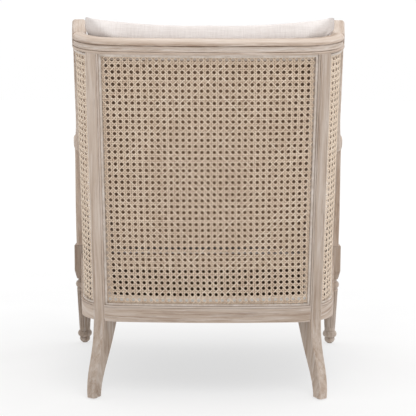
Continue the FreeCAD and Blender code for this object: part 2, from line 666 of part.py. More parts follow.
straps_l = []
for x in (-255, -153, -51, 51, 153, 255):
    b = prism(poly([(600, 0), (-600, 0), (-600, 600), (600, 600)]), x - 26, x + 26).common(deck_slab(0.1, 2.1))
    b = b.common(up(inside(RAIL_T + 3.0, 660), -300, 300)).common(Part.makeBox(1000, 1400, 800, V(-500, fy1 + 2.0, 0)))
    straps_l += b.cut(rear).cut(mirror(rear)).Solids
straps_c = []
for y in (-300, -205, -110, -15, 80):
    b = Part.makeBox(1000, 52, 800, V(-500, y - 26, 0)).common(deck_slab(2.2, 4.2)).common(up(inside(RAIL_T + 3.0, 660), -300, 300))
    straps_c += b.cut(rear).cut(mirror(rear)).Solids
OUT["webbing_lengthwise"] = Part.makeCompound(straps_l)
OUT["webbing_crosswise"] = Part.makeCompound(straps_c)

deck = inner_deck.common(deck_slab(4.4, 6.0)).common(front_limit)
deck = deck.cut(rear).cut(mirror(rear)).cut(Part.makeBox(BLOCK + 2, BLOCK + 2, 800, V(FRONT_X - h - 1, FRONT_Y - h - 1, 0))).cut(
    Part.makeBox(BLOCK + 2, BLOCK + 2, 800, V(-FRONT_X - h - 1, FRONT_Y - h - 1, 0)))
deck = sorted(deck.Solids, key=lambda s: -s.Volume)[0]
OUT["deck_cloth"] = deck

dust = up(inside(8.0, 640), -300, 300).common(slab(RAIL_BOT - 1.6, RAIL_BOT - 0.1)).common(Part.makeBox(1000, 1400, 800, V(-500, fy1 - 6, 0)))
for s in (rear, mirror(rear)):
    dust = dust.cut(s)
for sx in (1, -1):
    dust = dust.cut(Part.makeBox(BLOCK + 4, BLOCK + 4, 800, V(sx * FRONT_X - h - 2, FRONT_Y - h - 2, 0)))
OUT["dust_cover"] = sorted(dust.Solids, key=lambda s: -s.Volume)[0]

# glue blocks in the front corners, each held with two screws
gb = []
scr = []
for sx in (1, -1):
    x0 = sx * (FR_X - 0.0)
    q = [V(sx * (FR_X - 3), fy1, 209), V(sx * (FR_X - 78), fy1, 209), V(sx * (FR_X - 78), fy1 + 14, 209),
         V(sx * (FR_X - 22), fy1 + 72, 209), V(sx * (FR_X - 3), fy1 + 72, 209)]
    b = Part.Face(Part.makePolygon(q + [q[0]])).extrude(V(0, 0, 28))
    gb.append(b)
for i, b in enumerate(gb):
    sx = 1 if i == 0 else -1
    for z in (218.0, 229.0):
        p = V(sx * (FR_X - 56), fy1 + 36.0, z)
        dvec = V(sx * 0.70, -0.714, 0)
        head = Part.makeCylinder(4.2, 2.6, p - dvec * 1.0, dvec)
        shank = Part.makeCylinder(2.0, 34.0, p - dvec * 1.0, dvec)
        sc = head.fuse(shank)
        scr.append(sc)
scr_all = Part.makeCompound(scr)
gb = [b.common(Part.makeBox(1000, 1000, 60, V(-500, -500, 200))) for b in gb]
gb_cut = []
for b in gb:
    b = b.cut(up(inside(-60, 690), -300, 300).cut(up(inside(RAIL_T, 690), -320, 320)))
    for s in (front, mirror(front), OUT["front_seat_rail"], side_cleat, mirror(side_cleat), OUT["front_deck_cleat"]):
        b = b.cut(s)
    gb_cut.append(sorted(b.Solids, key=lambda s: -s.Volume)[0])
OUT["corner_blocks"] = Part.makeCompound([b.cut(scr_all).Solids[0] for b in gb_cut])
OUT["corner_block_screws"] = scr_all
front_rail_c = OUT["front_seat_rail"].cut(scr_all)
OUT["front_seat_rail"] = solids(front_rail_c)
OUT["front_deck_cleat"] = solids(OUT["front_deck_cleat"].cut(scr_all))

# ------------------------------------------------------------------- cushions
SEAT_FRONT = fy0 + 3.0
sc_plan = inside(SEAT_INSET, 676)
seat = up(sc_plan, -300, 420).common(deck_slab(8.0, 8.0 + SEAT_THICK)).common(prism(poly([(186, 0), (186, 800), (SEAT_FRONT, 800), (SEAT_FRONT, 0)])))
seat = solids(seat)
seat = soften(seat, 30.0, lambda e: e.Length > 60 and abs(e.tangentAt(e.FirstParameter).dot(deck_up)) > 0.9)
seat = soften(seat, 24.0, lambda e: e.Length > 8 and abs(e.tangentAt(e.FirstParameter).dot(deck_up)) < 0.5)
OUT["seat_cushion"] = seat

bc = up(inside(BACKC_INSET, BACKC_FRONT), -100, BACKC_TOP)
bc = bc.cut(prism(poly([(700, -200), (-700, -200), (-700, deck_z(-700) + (8.0 + SEAT_THICK + 1.0) / math.cos(dk)), (700, deck_z(700) + (8.0 + SEAT_THICK + 1.0) / math.cos(dk))])))
bc = solids(bc)
s_dir = V(0, math.sin(rho), math.cos(rho))
bc = soften(bc, 45.0, lambda e: e.Length > 150 and abs(e.tangentAt(e.FirstParameter).dot(s_dir)) > 0.95 and e.BoundBox.YMin < 190)
bc = soften(bc, 26.0, lambda e: e.Length > 8 and abs(e.tangentAt(e.FirstParameter).dot(s_dir)) < 0.8)
OUT["back_cushion"] = bc

# --------------------------------------------------------------- floor glides
gl = []
foot = LEG[-1]
fc = V(foot[1], foot[2], 0) - e_r * (foot[4] / 2)
for x, y in ((fc.x, fc.y), (-fc.x, fc.y), (FRONT_X, FRONT_Y), (-FRONT_X, FRONT_Y)):
    g = Part.makeCylinder(8.0, GLIDE, V(x, y, 0))
    g = g.makeFillet(1.2, [e for e in g.Edges if e.BoundBox.ZMax < 0.5 and e.Length > 20])
    gl.append(g)
OUT["floor_glides"] = Part.makeCompound(gl)

# ------------------------------------------------------------ left and right
for name, s in (("rear_leg", rear), ("wing_rail", wing), ("arm", arm_soft), ("arm_support", sup), ("front_leg", front),
                ("side_seat_rail", side_rail), ("side_cane_panel", side_cane), ("side_cane_spline", s_spl),
                ("side_rebate_strip", s_st), ("side_deck_cleat", side_cleat)):
    OUT[name + "_left"] = s
    OUT[name + "_right"] = solids(mirror(s))

box = None
for name in sorted(OUT):
    s = OUT[name].copy()
    s.translate(V(0, Y_SHIFT, 0))
    s.exportStep("parts/%s.step" % name)
    b = s.optimalBoundingBox(False, False)
    box = b if box is None else box.united(b)
    print("%-24s solids %d valid %s vol %.1f cm3  x %.1f..%.1f  y %.1f..%.1f  z %.1f..%.1f" % (
        name, len(s.Solids), s.isValid(), s.Volume / 1000, b.XMin, b.XMax, b.YMin, b.YMax, b.ZMin, b.ZMax))
print("overall", box.XMin, box.XMax, box.YMin, box.YMax, box.ZMin, box.ZMax)
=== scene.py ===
import bpy
import math
import numpy as np
from mathutils import Vector, Matrix
from mathutils.geometry import delaunay_2d_cdt

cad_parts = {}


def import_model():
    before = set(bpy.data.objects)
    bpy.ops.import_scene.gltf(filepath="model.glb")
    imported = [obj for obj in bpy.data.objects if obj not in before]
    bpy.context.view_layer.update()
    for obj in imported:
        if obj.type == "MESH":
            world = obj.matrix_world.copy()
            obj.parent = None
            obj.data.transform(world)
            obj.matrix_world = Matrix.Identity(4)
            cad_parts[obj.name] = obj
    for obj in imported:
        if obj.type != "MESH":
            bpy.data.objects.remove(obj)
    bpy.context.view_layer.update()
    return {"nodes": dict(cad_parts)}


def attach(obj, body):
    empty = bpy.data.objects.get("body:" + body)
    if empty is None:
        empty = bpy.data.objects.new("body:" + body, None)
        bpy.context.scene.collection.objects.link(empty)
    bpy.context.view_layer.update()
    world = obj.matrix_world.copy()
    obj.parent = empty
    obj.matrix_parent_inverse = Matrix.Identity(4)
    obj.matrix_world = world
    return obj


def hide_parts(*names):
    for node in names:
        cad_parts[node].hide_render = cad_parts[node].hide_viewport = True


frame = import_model()
NODES = frame["nodes"]
scene = bpy.context.scene
RNG = np.random.default_rng(41)

# ------------------------------------------------------------------ dimensions
# Millimetres, the same driving sizes as the construction; pieces are made in metres.
RAKE = math.radians(11.6)
CR, SR = math.cos(RAKE), math.sin(RAKE)
BACK_Y, RAIL_TOP, RAIL_BOT, Y_SHIFT = 225.0, 243.0, 199.0, 29.7286
R_BACK, R_CORNER, FL = 2700.0, 117.0, math.radians(6.5)
SIDE_X, SIDE_U = 337.0, 114.0
PANEL_S, CREST_S = 650.5, 687.5
POST_A, POST_B = math.radians(23.2), math.radians(40.5)
BAND, RAIL_T = 38.0, 26.0
FRONT_Y, BLOCK = -380.0, 54.0
DECK_Y0, DECK_Z0, DECK_Y1, DECK_Z1 = 150.0, 230.0, -377.0, 268.0
DK = math.atan2(DECK_Z1 - DECK_Z0, DECK_Y0 - DECK_Y1)
SEAT_THICK = 150.0
SUP_REAR = [(-350, 150), (-350, 270), (-351, 312), (-345, 350), (-327, 420), (-312, 490), (-304, 560), (-296, 620), (-286, 700)]
SIDE_RAIL_FRONT, RAIL_Y0, RAIL_FRONT_TOP = FRONT_Y + BLOCK / 2, 170.0, 288.0


def corner_centre():
    lo, hi = -200.0, 200.0
    d, n = (math.sin(FL), math.cos(FL)), (-math.cos(FL), math.sin(FL))
    f = lambda k: math.hypot(SIDE_X + k * d[0] + R_CORNER * n[0], SIDE_U + k * d[1] + R_CORNER * n[1] - R_BACK) - (R_BACK - R_CORNER)
    for _ in range(80):
        mid = (lo + hi) / 2
        if f(lo) * f(mid) <= 0:
            hi = mid
        else:
            lo = mid
    return SIDE_X + lo * d[0] + R_CORNER * n[0], SIDE_U + lo * d[1] + R_CORNER * n[1]


CX, CU = corner_centre()
PSI = math.atan2(CX, R_BACK - CU)
TH_END = math.pi / 2 - FL


def world(x, u, s):
    """Leaning frame (across, forward from the back, up the rake) to metres in the row frame."""
    x, u, s = np.broadcast_arrays(np.asarray(x, float), u, s)
    return np.stack([x, BACK_Y - u * CR + s * SR + Y_SHIFT, RAIL_TOP + u * SR + s * CR], -1) * 0.001


def lean(p):
    """Metres in the row frame to the leaning frame, in millimetres."""
    p = np.asarray(p, float) * 1000.0
    y, z = p[..., 1] - BACK_Y - Y_SHIFT, p[..., 2] - RAIL_TOP
    return p[..., 0], -y * CR + z * SR, y * SR + z * CR


def plan(a, t):
    """Point and outward normal in plan at arc length a from the centre line, on the line at depth t."""
    a = np.asarray(a, float)
    m = np.abs(a)
    la = (R_BACK - t) * PSI
    lc = (R_CORNER - t) * (TH_END - PSI)
    th = np.where(m < la, m / (R_BACK - t), np.minimum(PSI + (m - la) / (R_CORNER - t), TH_END))
    on_arc = m < la
    x = np.where(on_arc, (R_BACK - t) * np.sin(th), CX + (R_CORNER - t) * np.sin(th))
    u = np.where(on_arc, R_BACK - (R_BACK - t) * np.cos(th), CU - (R_CORNER - t) * np.cos(th))
    k = np.maximum(m - la - lc, 0.0)
    x, u = x + k * math.sin(FL), u + k * math.cos(FL)
    sg = np.where(a < 0, -1.0, 1.0)
    return x * sg, u, np.sin(th) * sg, -np.cos(th)


def arc_at(t, th):
    """Arc length at depth t of a radial plane of the corner."""
    return (R_BACK - t) * PSI + (R_CORNER - t) * (th - PSI)


def deck_z(y):
    return DECK_Z0 + (DECK_Y0 - y) * math.tan(DK)


# ------------------------------------------------------------------ node helper
class Tree:
    """Small helper for building shader trees."""

    def __init__(self, tree):
        self.t = tree

    def new(self, kind, **props):
        n = self.t.nodes.new(kind)
        for k, v in props.items():
            setattr(n, k, v)
        return n

    def put(self, sock, v):
        if isinstance(v, bpy.types.NodeSocket):
            self.t.links.new(v, sock)
        elif v is not None:
            sock.default_value = v

    def math(self, op, a, b=None, c=None, clamp=False):
        n = self.new("ShaderNodeMath", operation=op, use_clamp=clamp)
        for i, v in enumerate((a, b, c)):
            if v is not None:
                self.put(n.inputs[i], v)
        return n.outputs[0]

    def vmath(self, op, a, b=None, scale=None):
        n = self.new("ShaderNodeVectorMath", operation=op)
        self.put(n.inputs[0], a)
        if b is not None:
            self.put(n.inputs[1], b)
        if scale is not None:
            self.put(n.inputs["Scale"], scale)
        return n.outputs["Value"] if op in ("LENGTH", "DOT_PRODUCT") else n.outputs[0]

    def split(self, v):
        n = self.new("ShaderNodeSeparateXYZ")
        self.put(n.inputs[0], v)
        return n.outputs[0], n.outputs[1], n.outputs[2]

    def join(self, x, y, z):
        n = self.new("ShaderNodeCombineXYZ")
        for i, v in enumerate((x, y, z)):
            self.put(n.inputs[i], v)
        return n.outputs[0]

    def noise(self, vec, scale=1.0, detail=3.0, rough=0.5, distort=0.0):
        n = self.new("ShaderNodeTexNoise")
        self.put(n.inputs["Vector"], vec)
        n.inputs["Scale"].default_value = scale
        n.inputs["Detail"].default_value = detail
        n.inputs["Roughness"].default_value = rough
        n.inputs["Distortion"].default_value = distort
        return n.outputs["Fac"]

    def ramp(self, fac, stops, mode="LINEAR"):
        n = self.new("ShaderNodeValToRGB")
        n.color_ramp.interpolation = mode
        e = n.color_ramp.elements
        while len(e) < len(stops):
            e.new(0.5)
        for el, (p, c) in zip(e, stops):
            el.position = p
            el.color = (*c, 1.0) if len(c) == 3 else c
        self.put(n.inputs[0], fac)
        return n.outputs[0]

    def fit(self, v, a, b, c=0.0, d=1.0):
        n = self.new("ShaderNodeMapRange")
        n.clamp = True
        self.put(n.inputs["Value"], v)
        for k, q in (("From Min", a), ("From Max", b), ("To Min", c), ("To Max", d)):
            n.inputs[k].default_value = q
        return n.outputs[0]

    def mix(self, fac, a, b, mode="MIX"):
        n = self.new("ShaderNodeMix", data_type="RGBA", blend_type=mode)
        self.put(n.inputs[0], fac)
        for s, v in ((n.inputs[6], a), (n.inputs[7], b)):
            if isinstance(v, bpy.types.NodeSocket):
                self.t.links.new(v, s)
            else:
                s.default_value = (*v, 1.0)
        return n.outputs[2]

    def bump(self, height, dist, strength=1.0, normal=None):
        n = self.new("ShaderNodeBump")
        n.inputs["Strength"].default_value = strength
        n.inputs["Distance"].default_value = dist
        self.put(n.inputs["Height"], height)
        if normal is not None:
            self.put(n.inputs["Normal"], normal)
        return n.outputs[0]


def lin(r, g, b):
    f = lambda c: c / 12.92 if c <= 0.04045 else ((c + 0.055) / 1.055) ** 2.4
    return tuple(f(c / 255.0) for c in (r, g, b))


def material(name):
    m = bpy.data.materials.new(name)
    m.use_nodes = True
    t = Tree(m.node_tree)
    bsdf = m.node_tree.nodes["Principled BSDF"]
    return m, t, bsdf


def tub_group():
    """Coordinates that follow the tub: along it, in from its outer face, up the rake; metres."""
    g = bpy.data.node_groups.new("tub_coords", "ShaderNodeTree")
    g.interface.new_socket("Vector", in_out="OUTPUT", socket_type="NodeSocketVector")
    t = Tree(g)
    out = t.new("NodeGroupOutput")
    co = t.new("ShaderNodeTexCoord").outputs["Object"]
    px, py, pz = t.split(co)
    x = t.math("ABSOLUTE", px)
    y = t.math("SUBTRACT", py, (BACK_Y + Y_SHIFT) * 0.001)
    z = t.math("SUBTRACT", pz, RAIL_TOP * 0.001)
    u = t.math("SUBTRACT", t.math("MULTIPLY", z, SR), t.math("MULTIPLY", y, CR))
    s = t.math("ADD", t.math("MULTIPLY", y, SR), t.math("MULTIPLY", z, CR))
    vx = t.math("SUBTRACT", x, CX * 0.001)
    vu = t.math("SUBTRACT", CU * 0.001, u)
    th = t.math("ARCTAN2", vx, vu)
    turn = t.math("MINIMUM", t.math("MAXIMUM", t.math("SUBTRACT", th, PSI), 0.0), TH_END - PSI)
    k = t.math("MAXIMUM", t.math("SUBTRACT", t.math("MULTIPLY", vx, math.sin(FL)), t.math("MULTIPLY", vu, math.cos(FL))), 0.0)
    x0 = (CX + R_CORNER * math.sin(PSI)) * 0.001
    along = t.math("ADD", t.math("ADD", t.math("MINIMUM", x, x0), t.math("MULTIPLY", turn, R_CORNER * 0.001)), k)
    along = t.math("MULTIPLY", along, t.math("SIGN", px))
    r = t.math("SQRT", t.math("ADD", t.math("MULTIPLY", vx, vx), t.math("MULTIPLY", vu, vu)))
    t_c = t.math("SUBTRACT", R_CORNER * 0.001, r)
    t_b = t.math("SUBTRACT", u, t.math("MULTIPLY", t.math("MULTIPLY", x, x), 1.0 / (2 * R_BACK * 0.001)))
    t_s = t.math("SUBTRACT", R_CORNER * 0.001, t.math("ADD", t.math("MULTIPLY", vx, math.cos(FL)), t.math("MULTIPLY", vu, math.sin(FL))))
    is_c = t.math("GREATER_THAN", th, PSI)
    is_s = t.math("GREATER_THAN", k, 0.0)
    d = t.math("ADD", t.math("MULTIPLY", t_b, t.math("SUBTRACT", 1.0, is_c)), t.math("MULTIPLY", t_c, is_c))
    d = t.math("ADD", t.math("MULTIPLY", d, t.math("SUBTRACT", 1.0, is_s)), t.math("MULTIPLY", t_s, is_s))
    g.links.new(t.join(along, d, s), out.inputs[0])
    return g


TUB = tub_group()

# --------------------------------------------------------------------- materials
OAK_DARK, OAK_MID, OAK_LIGHT = lin(146, 122, 104), lin(186, 167, 151), lin(208, 194, 182)
# OAK_CREV is the brown of the crevices: partly the finish, partly painted shade
OAK_WASH, OAK_PORE, OAK_CREV = lin(222, 213, 206), lin(104, 80, 62), lin(92, 70, 53)


def oak(name, axis=None, seed=0.0, tone=1.0, crevice=0.42, floor_shade=None, streaks=None):
    """Limed grey oak: long fibres, short pores, growth rings, whitish wash, brown in the crevices that is partly the
    finish and partly painted shade; the colour factor and the factor towards the floor paint light and shade on some
    parts.
    """
    m, t, b = material(name)
    if axis is None:
        gn = t.new("ShaderNodeGroup")
        gn.node_tree = TUB
        g = gn.outputs[0]
    else:
        co = t.new("ShaderNodeTexCoord").outputs["Object"]
        rot = t.new("ShaderNodeMapping")
        rot.inputs["Rotation"].default_value = Vector(axis).rotation_difference(Vector((1, 0, 0))).to_euler()
        t.put(rot.inputs["Vector"], co)
        g = rot.outputs[0]
    g = t.vmath("ADD", g, (seed * 1.37, seed * 0.71, seed * 0.53))
    wob = t.noise(t.vmath("MULTIPLY", g, (3.0, 9.0, 9.0)), 1.0, 2.0, 0.5)
    wob = t.math("MULTIPLY", t.math("SUBTRACT", wob, 0.5), 0.012)
    gv = t.vmath("ADD", g, t.join(0.0, wob, wob))
    # growth rings, fibres, pores and blotches
    rings = t.noise(t.vmath("MULTIPLY", gv, (1.7, 62.0, 62.0)), 1.0, 3.0, 0.55, 0.3)
    fibre = t.noise(t.vmath("MULTIPLY", gv, (11.0, 360.0, 360.0)), 1.0, 4.0, 0.62, 0.15)
    pore = t.noise(t.vmath("MULTIPLY", gv, (34.0, 980.0, 980.0)), 1.0, 2.0, 0.5, 0.0)
    blotch = t.noise(t.vmath("MULTIPLY", g, (5.0, 16.0, 16.0)), 1.0, 3.0, 0.5)
    val = t.math("ADD", t.math("MULTIPLY", rings, 0.42), t.math("ADD", t.math("MULTIPLY", fibre, 0.40), t.math("MULTIPLY", blotch, 0.18)))
    col = t.ramp(t.fit(val, 0.34, 0.66), [(0.0, OAK_DARK), (0.45, OAK_MID), (1.0, OAK_LIGHT)])
    wash = t.fit(t.noise(t.vmath("MULTIPLY", gv, (7.0, 150.0, 150.0)), 1.0, 4.0, 0.6, 0.3), 0.5, 0.72)
    col = t.mix(t.math("MULTIPLY", wash, 0.55), col, OAK_WASH)
    pores = t.fit(pore, 0.60, 0.74)
    pores = t.math("MULTIPLY", pores, t.fit(rings, 0.40, 0.62, 1.0, 0.25))
    col = t.mix(t.math("MULTIPLY", pores, 0.55), col, OAK_PORE)
    # lime and brown finish left in the crevices, the brown also painted shade in the most occluded recesses; rubbed
    # edges a little paler
    ao = t.new("ShaderNodeAmbientOcclusion", samples=6, only_local=True)
    ao.inputs["Distance"].default_value = 0.008
    crev = t.fit(ao.outputs["AO"], 0.35, 0.92, 1.0, 0.0)
    patch = t.noise(t.vmath("MULTIPLY", g, (14.0, 30.0, 30.0)), 1.0, 2.0, 0.5)
    limed = t.math("MULTIPLY", crev, t.fit(patch, 0.34, 0.50, 1.0, 0.0))
    col = t.mix(t.math("MULTIPLY", limed, 0.6), col, OAK_WASH)
    crev = t.math("MULTIPLY", crev, t.fit(patch, 0.38, 0.60, 0.2, 1.0))
    col = t.mix(t.math("MULTIPLY", crev, crevice), col, OAK_CREV)
    ed = t.new("ShaderNodeAmbientOcclusion", samples=6, inside=True, only_local=True)
    ed.inputs["Distance"].default_value = 0.0028
    edge = t.fit(ed.outputs["AO"], 0.45, 0.85, 1.0, 0.0)
    edge = t.math("MULTIPLY", edge, t.fit(t.noise(t.vmath("MULTIPLY", g, (40.0, 40.0, 40.0)), 1.0, 3.0, 0.6), 0.35, 0.62))
    col = t.mix(t.math("MULTIPLY", edge, 0.45), col, OAK_WASH)
    if streaks:
        # a patchy brown band just under the roll of the moulding and a patchy whitish band in the step below it
        rise = t.split(g)[2]
        run = t.fit(t.noise(t.vmath("MULTIPLY", g, (17.0, 60.0, 320.0)), 1.0, 4.0, 0.62, 0.4), 0.42, 0.60)
        inside = t.math("MULTIPLY", t.fit(rise, streaks - 0.0015, streaks + 0.0015), t.fit(rise, streaks + 0.0065, streaks + 0.0110, 1.0, 0.0))
        col = t.mix(t.math("MULTIPLY", t.math("MULTIPLY", inside, run), 0.5), col, lin(128, 98, 74))
        run = t.fit(t.noise(t.vmath("MULTIPLY", g, (23.0, 90.0, 410.0)), 1.0, 4.0, 0.62, 0.4), 0.44, 0.58)
        inside = t.math("MULTIPLY", t.fit(rise, streaks - 0.0105, streaks - 0.0085), t.fit(rise, streaks - 0.0035, streaks - 0.0010, 1.0, 0.0))
        col = t.mix(t.math("MULTIPLY", t.math("MULTIPLY", inside, run), 0.6), col, OAK_WASH)
    # painted light and shade: the whole part's colour is scaled, darker where the part stands in shade
    if tone != 1.0:
        col = t.mix(1.0, col, (tone, tone, tone), "MULTIPLY")
    if floor_shade:
        # painted light and shade: the colour is scaled towards the floor, for how much light reaches the lower leg
        height = t.split(t.new("ShaderNodeTexCoord").outputs["Object"])[2]
        height = t.math("ADD", height, t.math("MULTIPLY", t.math("SUBTRACT", blotch, 0.5), 0.06))
        k = t.fit(height, 0.0, 0.30, floor_shade, 1.0)
        col = t.mix(1.0, col, t.join(k, k, k), "MULTIPLY")
    t.put(b.inputs["Base Color"], col)
    t.put(b.inputs["Roughness"], t.fit(t.math("ADD", fibre, t.math("MULTIPLY", pores, 0.3)), 0.3, 0.9, 0.52, 0.78))
    b.inputs["Specular IOR Level"].default_value = 0.32
    h = t.math("SUBTRACT", t.math("MULTIPLY", fibre, 0.5), t.math("MULTIPLY", pores, 0.8))
    t.put(b.inputs["Normal"], t.bump(h, 0.0007, 0.55))
    return m


def cane_material():
    """Split cane: colour differs from strand to strand, partly at random and partly painted light on the side panels
    and the diagonals; fine fibres along it, darker nodes here and there, painted shade where the strands cross.
    """
    m, t, b = material("woven_cane")
    at = lambda n: t.new("ShaderNodeAttribute", attribute_name=n).outputs["Fac"]
    tone, along, across = at("tone"), at("along"), at("across")
    v = t.join(t.math("MULTIPLY", along, 16.0), t.math("MULTIPLY", across, 900.0), t.math("MULTIPLY", tone, 37.0))
    fib = t.noise(v, 1.0, 3.0, 0.6)
    v2 = t.join(t.math("MULTIPLY", along, 26.0), t.math("MULTIPLY", tone, 91.0), 0.0)
    slow = t.noise(v2, 1.0, 3.0, 0.55)
    k = t.math("ADD", t.math("MULTIPLY", tone, 0.40), t.math("ADD", t.math("MULTIPLY", slow, 0.42), t.math("MULTIPLY", fib, 0.2)))
    col = t.ramp(t.fit(k, 0.22, 0.78), [(0.0, lin(162, 135, 111)), (0.4, lin(201, 177, 154)), (0.75, lin(224, 204, 182)), (1.0, lin(241, 225, 206))])
    knot = t.fit(t.noise(t.join(t.math("MULTIPLY", along, 9.0), t.math("MULTIPLY", tone, 53.0), 3.0), 1.0, 1.0, 0.5), 0.70, 0.80)
    col = t.mix(t.math("MULTIPLY", knot, 0.5), col, lin(140, 110, 86))
    # painted shade: darker brown where the strands cross and lie close together
    ao = t.new("ShaderNodeAmbientOcclusion", samples=4)
    ao.inputs["Distance"].default_value = 0.004
    crev = t.fit(ao.outputs["AO"], 0.2, 0.8, 1.0, 0.0)
    col = t.mix(t.math("MULTIPLY", crev, 0.5), col, lin(118, 92, 72))
    t.put(b.inputs["Base Color"], col)
    t.put(b.inputs["Roughness"], t.fit(fib, 0.3, 0.7, 0.42, 0.62))
    b.inputs["Specular IOR Level"].default_value = 0.4
    t.put(b.inputs["Normal"], t.bump(fib, 0.00025, 0.6))
    return m


def reed_material():
    m, t, b = material("reed_spline")
    co = t.new("ShaderNodeTexCoord").outputs["Object"]
    n1 = t.noise(co, 55.0, 4.0, 0.6)
    n2 = t.noise(t.vmath("MULTIPLY", co, (900.0, 900.0, 120.0)), 1.0, 2.0, 0.5)
    col = t.ramp(t.fit(t.math("ADD", t.math("MULTIPLY", n1, 0.7), t.math("MULTIPLY", n2, 0.3)), 0.35, 0.65), [(0.0, lin(190, 176, 163)), (1.0, lin(221, 212, 204))])
    t.put(b.inputs["Base Color"], col)
    t.put(b.inputs["Roughness"], t.fit(n2, 0.3, 0.7, 0.5, 0.7))
    b.inputs["Specular IOR Level"].default_value = 0.35
    t.put(b.inputs["Normal"], t.bump(n2, 0.0003, 0.5))
    return m


def cloth_material(name, light, dark, pitch, rough=0.9, sheen=0.25, slub=1.0, bump=0.0005, painted_shade=None):
    """Plain woven cloth: threads in the plane of each face, slubs, soft colour drift; with the second pair of colours,
    painted shade on the cushions' rear and in folds.
    """
    m, t, b = material(name)
    co = t.new("ShaderNodeTexCoord").outputs["Object"]
    nor = t.new("ShaderNodeNewGeometry").outputs["Normal"]
    ax, ay, az = (t.math("ABSOLUTE", q) for q in t.split(nor))
    drift = t.noise(co, 9.0, 3.0, 0.5)
    x, y, z = t.split(co)
    k = 2 * math.pi / pitch

    def threads(p, q):
        a = t.math("SINE", t.math("MULTIPLY", p, k))
        c = t.math("SINE", t.math("MULTIPLY", q, k))
        return t.math("MULTIPLY_ADD", t.math("MULTIPLY", a, c), 0.5, 0.5)

    def slubs(p, q, r):
        one = t.noise(t.join(t.math("MULTIPLY", p, 38.0), t.math("MULTIPLY", q, 700.0), t.math("MULTIPLY", r, 38.0)), 1.0, 2.0, 0.5)
        two = t.noise(t.join(t.math("MULTIPLY", p, 700.0), t.math("MULTIPLY", q, 38.0), t.math("MULTIPLY", r, 38.0)), 1.0, 2.0, 0.5)
        return t.math("MULTIPLY", t.math("ADD", one, two), 0.5)

    def by_face(fx, fy, fz):
        wx, wy, wz = (t.math("POWER", q, 4.0) for q in (ax, ay, az))
        tot = t.math("ADD", t.math("ADD", wx, wy), wz)
        v = t.math("ADD", t.math("ADD", t.math("MULTIPLY", fx, wx), t.math("MULTIPLY", fy, wy)), t.math("MULTIPLY", fz, wz))
        return t.math("DIVIDE", v, tot)

    th = by_face(threads(y, z), threads(x, z), threads(x, y))
    sl = by_face(slubs(y, z, x), slubs(x, z, y), slubs(x, y, z))
    f = t.math("ADD", t.math("MULTIPLY", t.fit(sl, 0.36, 0.64), 0.5 * slub), t.math("ADD", t.math("MULTIPLY", th, 0.3), t.math("MULTIPLY", drift, 0.3)))
    col = t.ramp(t.fit(f, 0.2, 0.95), [(0.0, dark), (1.0, light)])
    if painted_shade:
        # painted shade: a tan colour on the rear of a cushion, where it lies in shadow behind the cane
        painted_shade_col = t.ramp(t.fit(f, 0.2, 0.95), [(0.0, painted_shade[1]), (1.0, painted_shade[0])])
        col = t.mix(t.fit(t.new("ShaderNodeAttribute", attribute_name="painted_shade").outputs["Fac"], 0.45, 0.55), col, painted_shade_col)
        # painted shadow: much darker where the marker is 2, the lower rear of the seat cushion
        painted_shadow = t.fit(t.new("ShaderNodeAttribute", attribute_name="painted_shade").outputs["Fac"], 1.4, 1.6, 1.0, 0.38)
        col = t.mix(1.0, col, t.join(painted_shadow, painted_shadow, painted_shadow), "MULTIPLY")
    if painted_shade:
        # painted shade in folds and where the cushion meets the crest and the wings
        ao = t.new("ShaderNodeAmbientOcclusion", samples=6)
        ao.inputs["Distance"].default_value = 0.022
        col = t.mix(t.math("MULTIPLY", t.fit(ao.outputs["AO"], 0.30, 0.80, 1.0, 0.0), 0.6), col, lin(150, 137, 127))
    t.put(b.inputs["Base Color"], col)
    t.put(b.inputs["Roughness"], t.fit(th, 0.0, 1.0, rough, min(1.0, rough + 0.08)))
    b.inputs["Specular IOR Level"].default_value = 0.2
    b.inputs["Sheen Weight"].default_value = sheen
    b.inputs["Sheen Roughness"].default_value = 0.5
    t.put(b.inputs["Normal"], t.bump(t.math("ADD", th, t.math("MULTIPLY", sl, 1.2)), bump, 0.5))
    return m


def steel_material():
    m, t, b = material("zinc_steel")
    co = t.new("ShaderNodeTexCoord").outputs["Object"]
    n = t.noise(co, 900.0, 3.0, 0.6)
    t.put(b.inputs["Base Color"], t.ramp(n, [(0.3, lin(150, 152, 154)), (0.7, lin(196, 198, 200))]))
    b.inputs["Metallic"].default_value = 1.0
    t.put(b.inputs["Roughness"], t.fit(n, 0.3, 0.7, 0.3, 0.5))
    t.put(b.inputs["Normal"], t.bump(n, 0.0001, 0.3))
    return m


def nylon_material():
    m, t, b = material("glide_nylon")
    co = t.new("ShaderNodeTexCoord").outputs["Object"]
    n = t.noise(co, 1400.0, 3.0, 0.6)
    t.put(b.inputs["Base Color"], t.ramp(n, [(0.3, lin(118, 102, 88)), (0.7, lin(140, 124, 108))]))
    t.put(b.inputs["Roughness"], t.fit(n, 0.3, 0.7, 0.55, 0.75))
    t.put(b.inputs["Normal"], t.bump(n, 0.0001, 0.3))
    return m


def hidden_wood():
    m, t, b = material("frame_timber")
    co = t.new("ShaderNodeTexCoord").outputs["Object"]
    f = t.noise(t.vmath("MULTIPLY", co, (22.0, 120.0, 260.0)), 1.0, 4.0, 0.6, 0.4)
    p = t.noise(t.vmath("MULTIPLY", co, (60.0, 420.0, 700.0)), 1.0, 2.0, 0.5)
    col = t.ramp(t.fit(f, 0.3, 0.7), [(0.0, lin(172, 142, 110)), (0.5, lin(196, 168, 136)), (1.0, lin(212, 188, 160))])
    col = t.mix(t.math("MULTIPLY", t.fit(p, 0.6, 0.75), 0.4), col, lin(140, 108, 80))
    t.put(b.inputs["Base Color"], col)
    t.put(b.inputs["Roughness"], t.fit(p, 0.3, 0.7, 0.6, 0.8))
    t.put(b.inputs["Normal"], t.bump(f, 0.0004, 0.4))
    return m


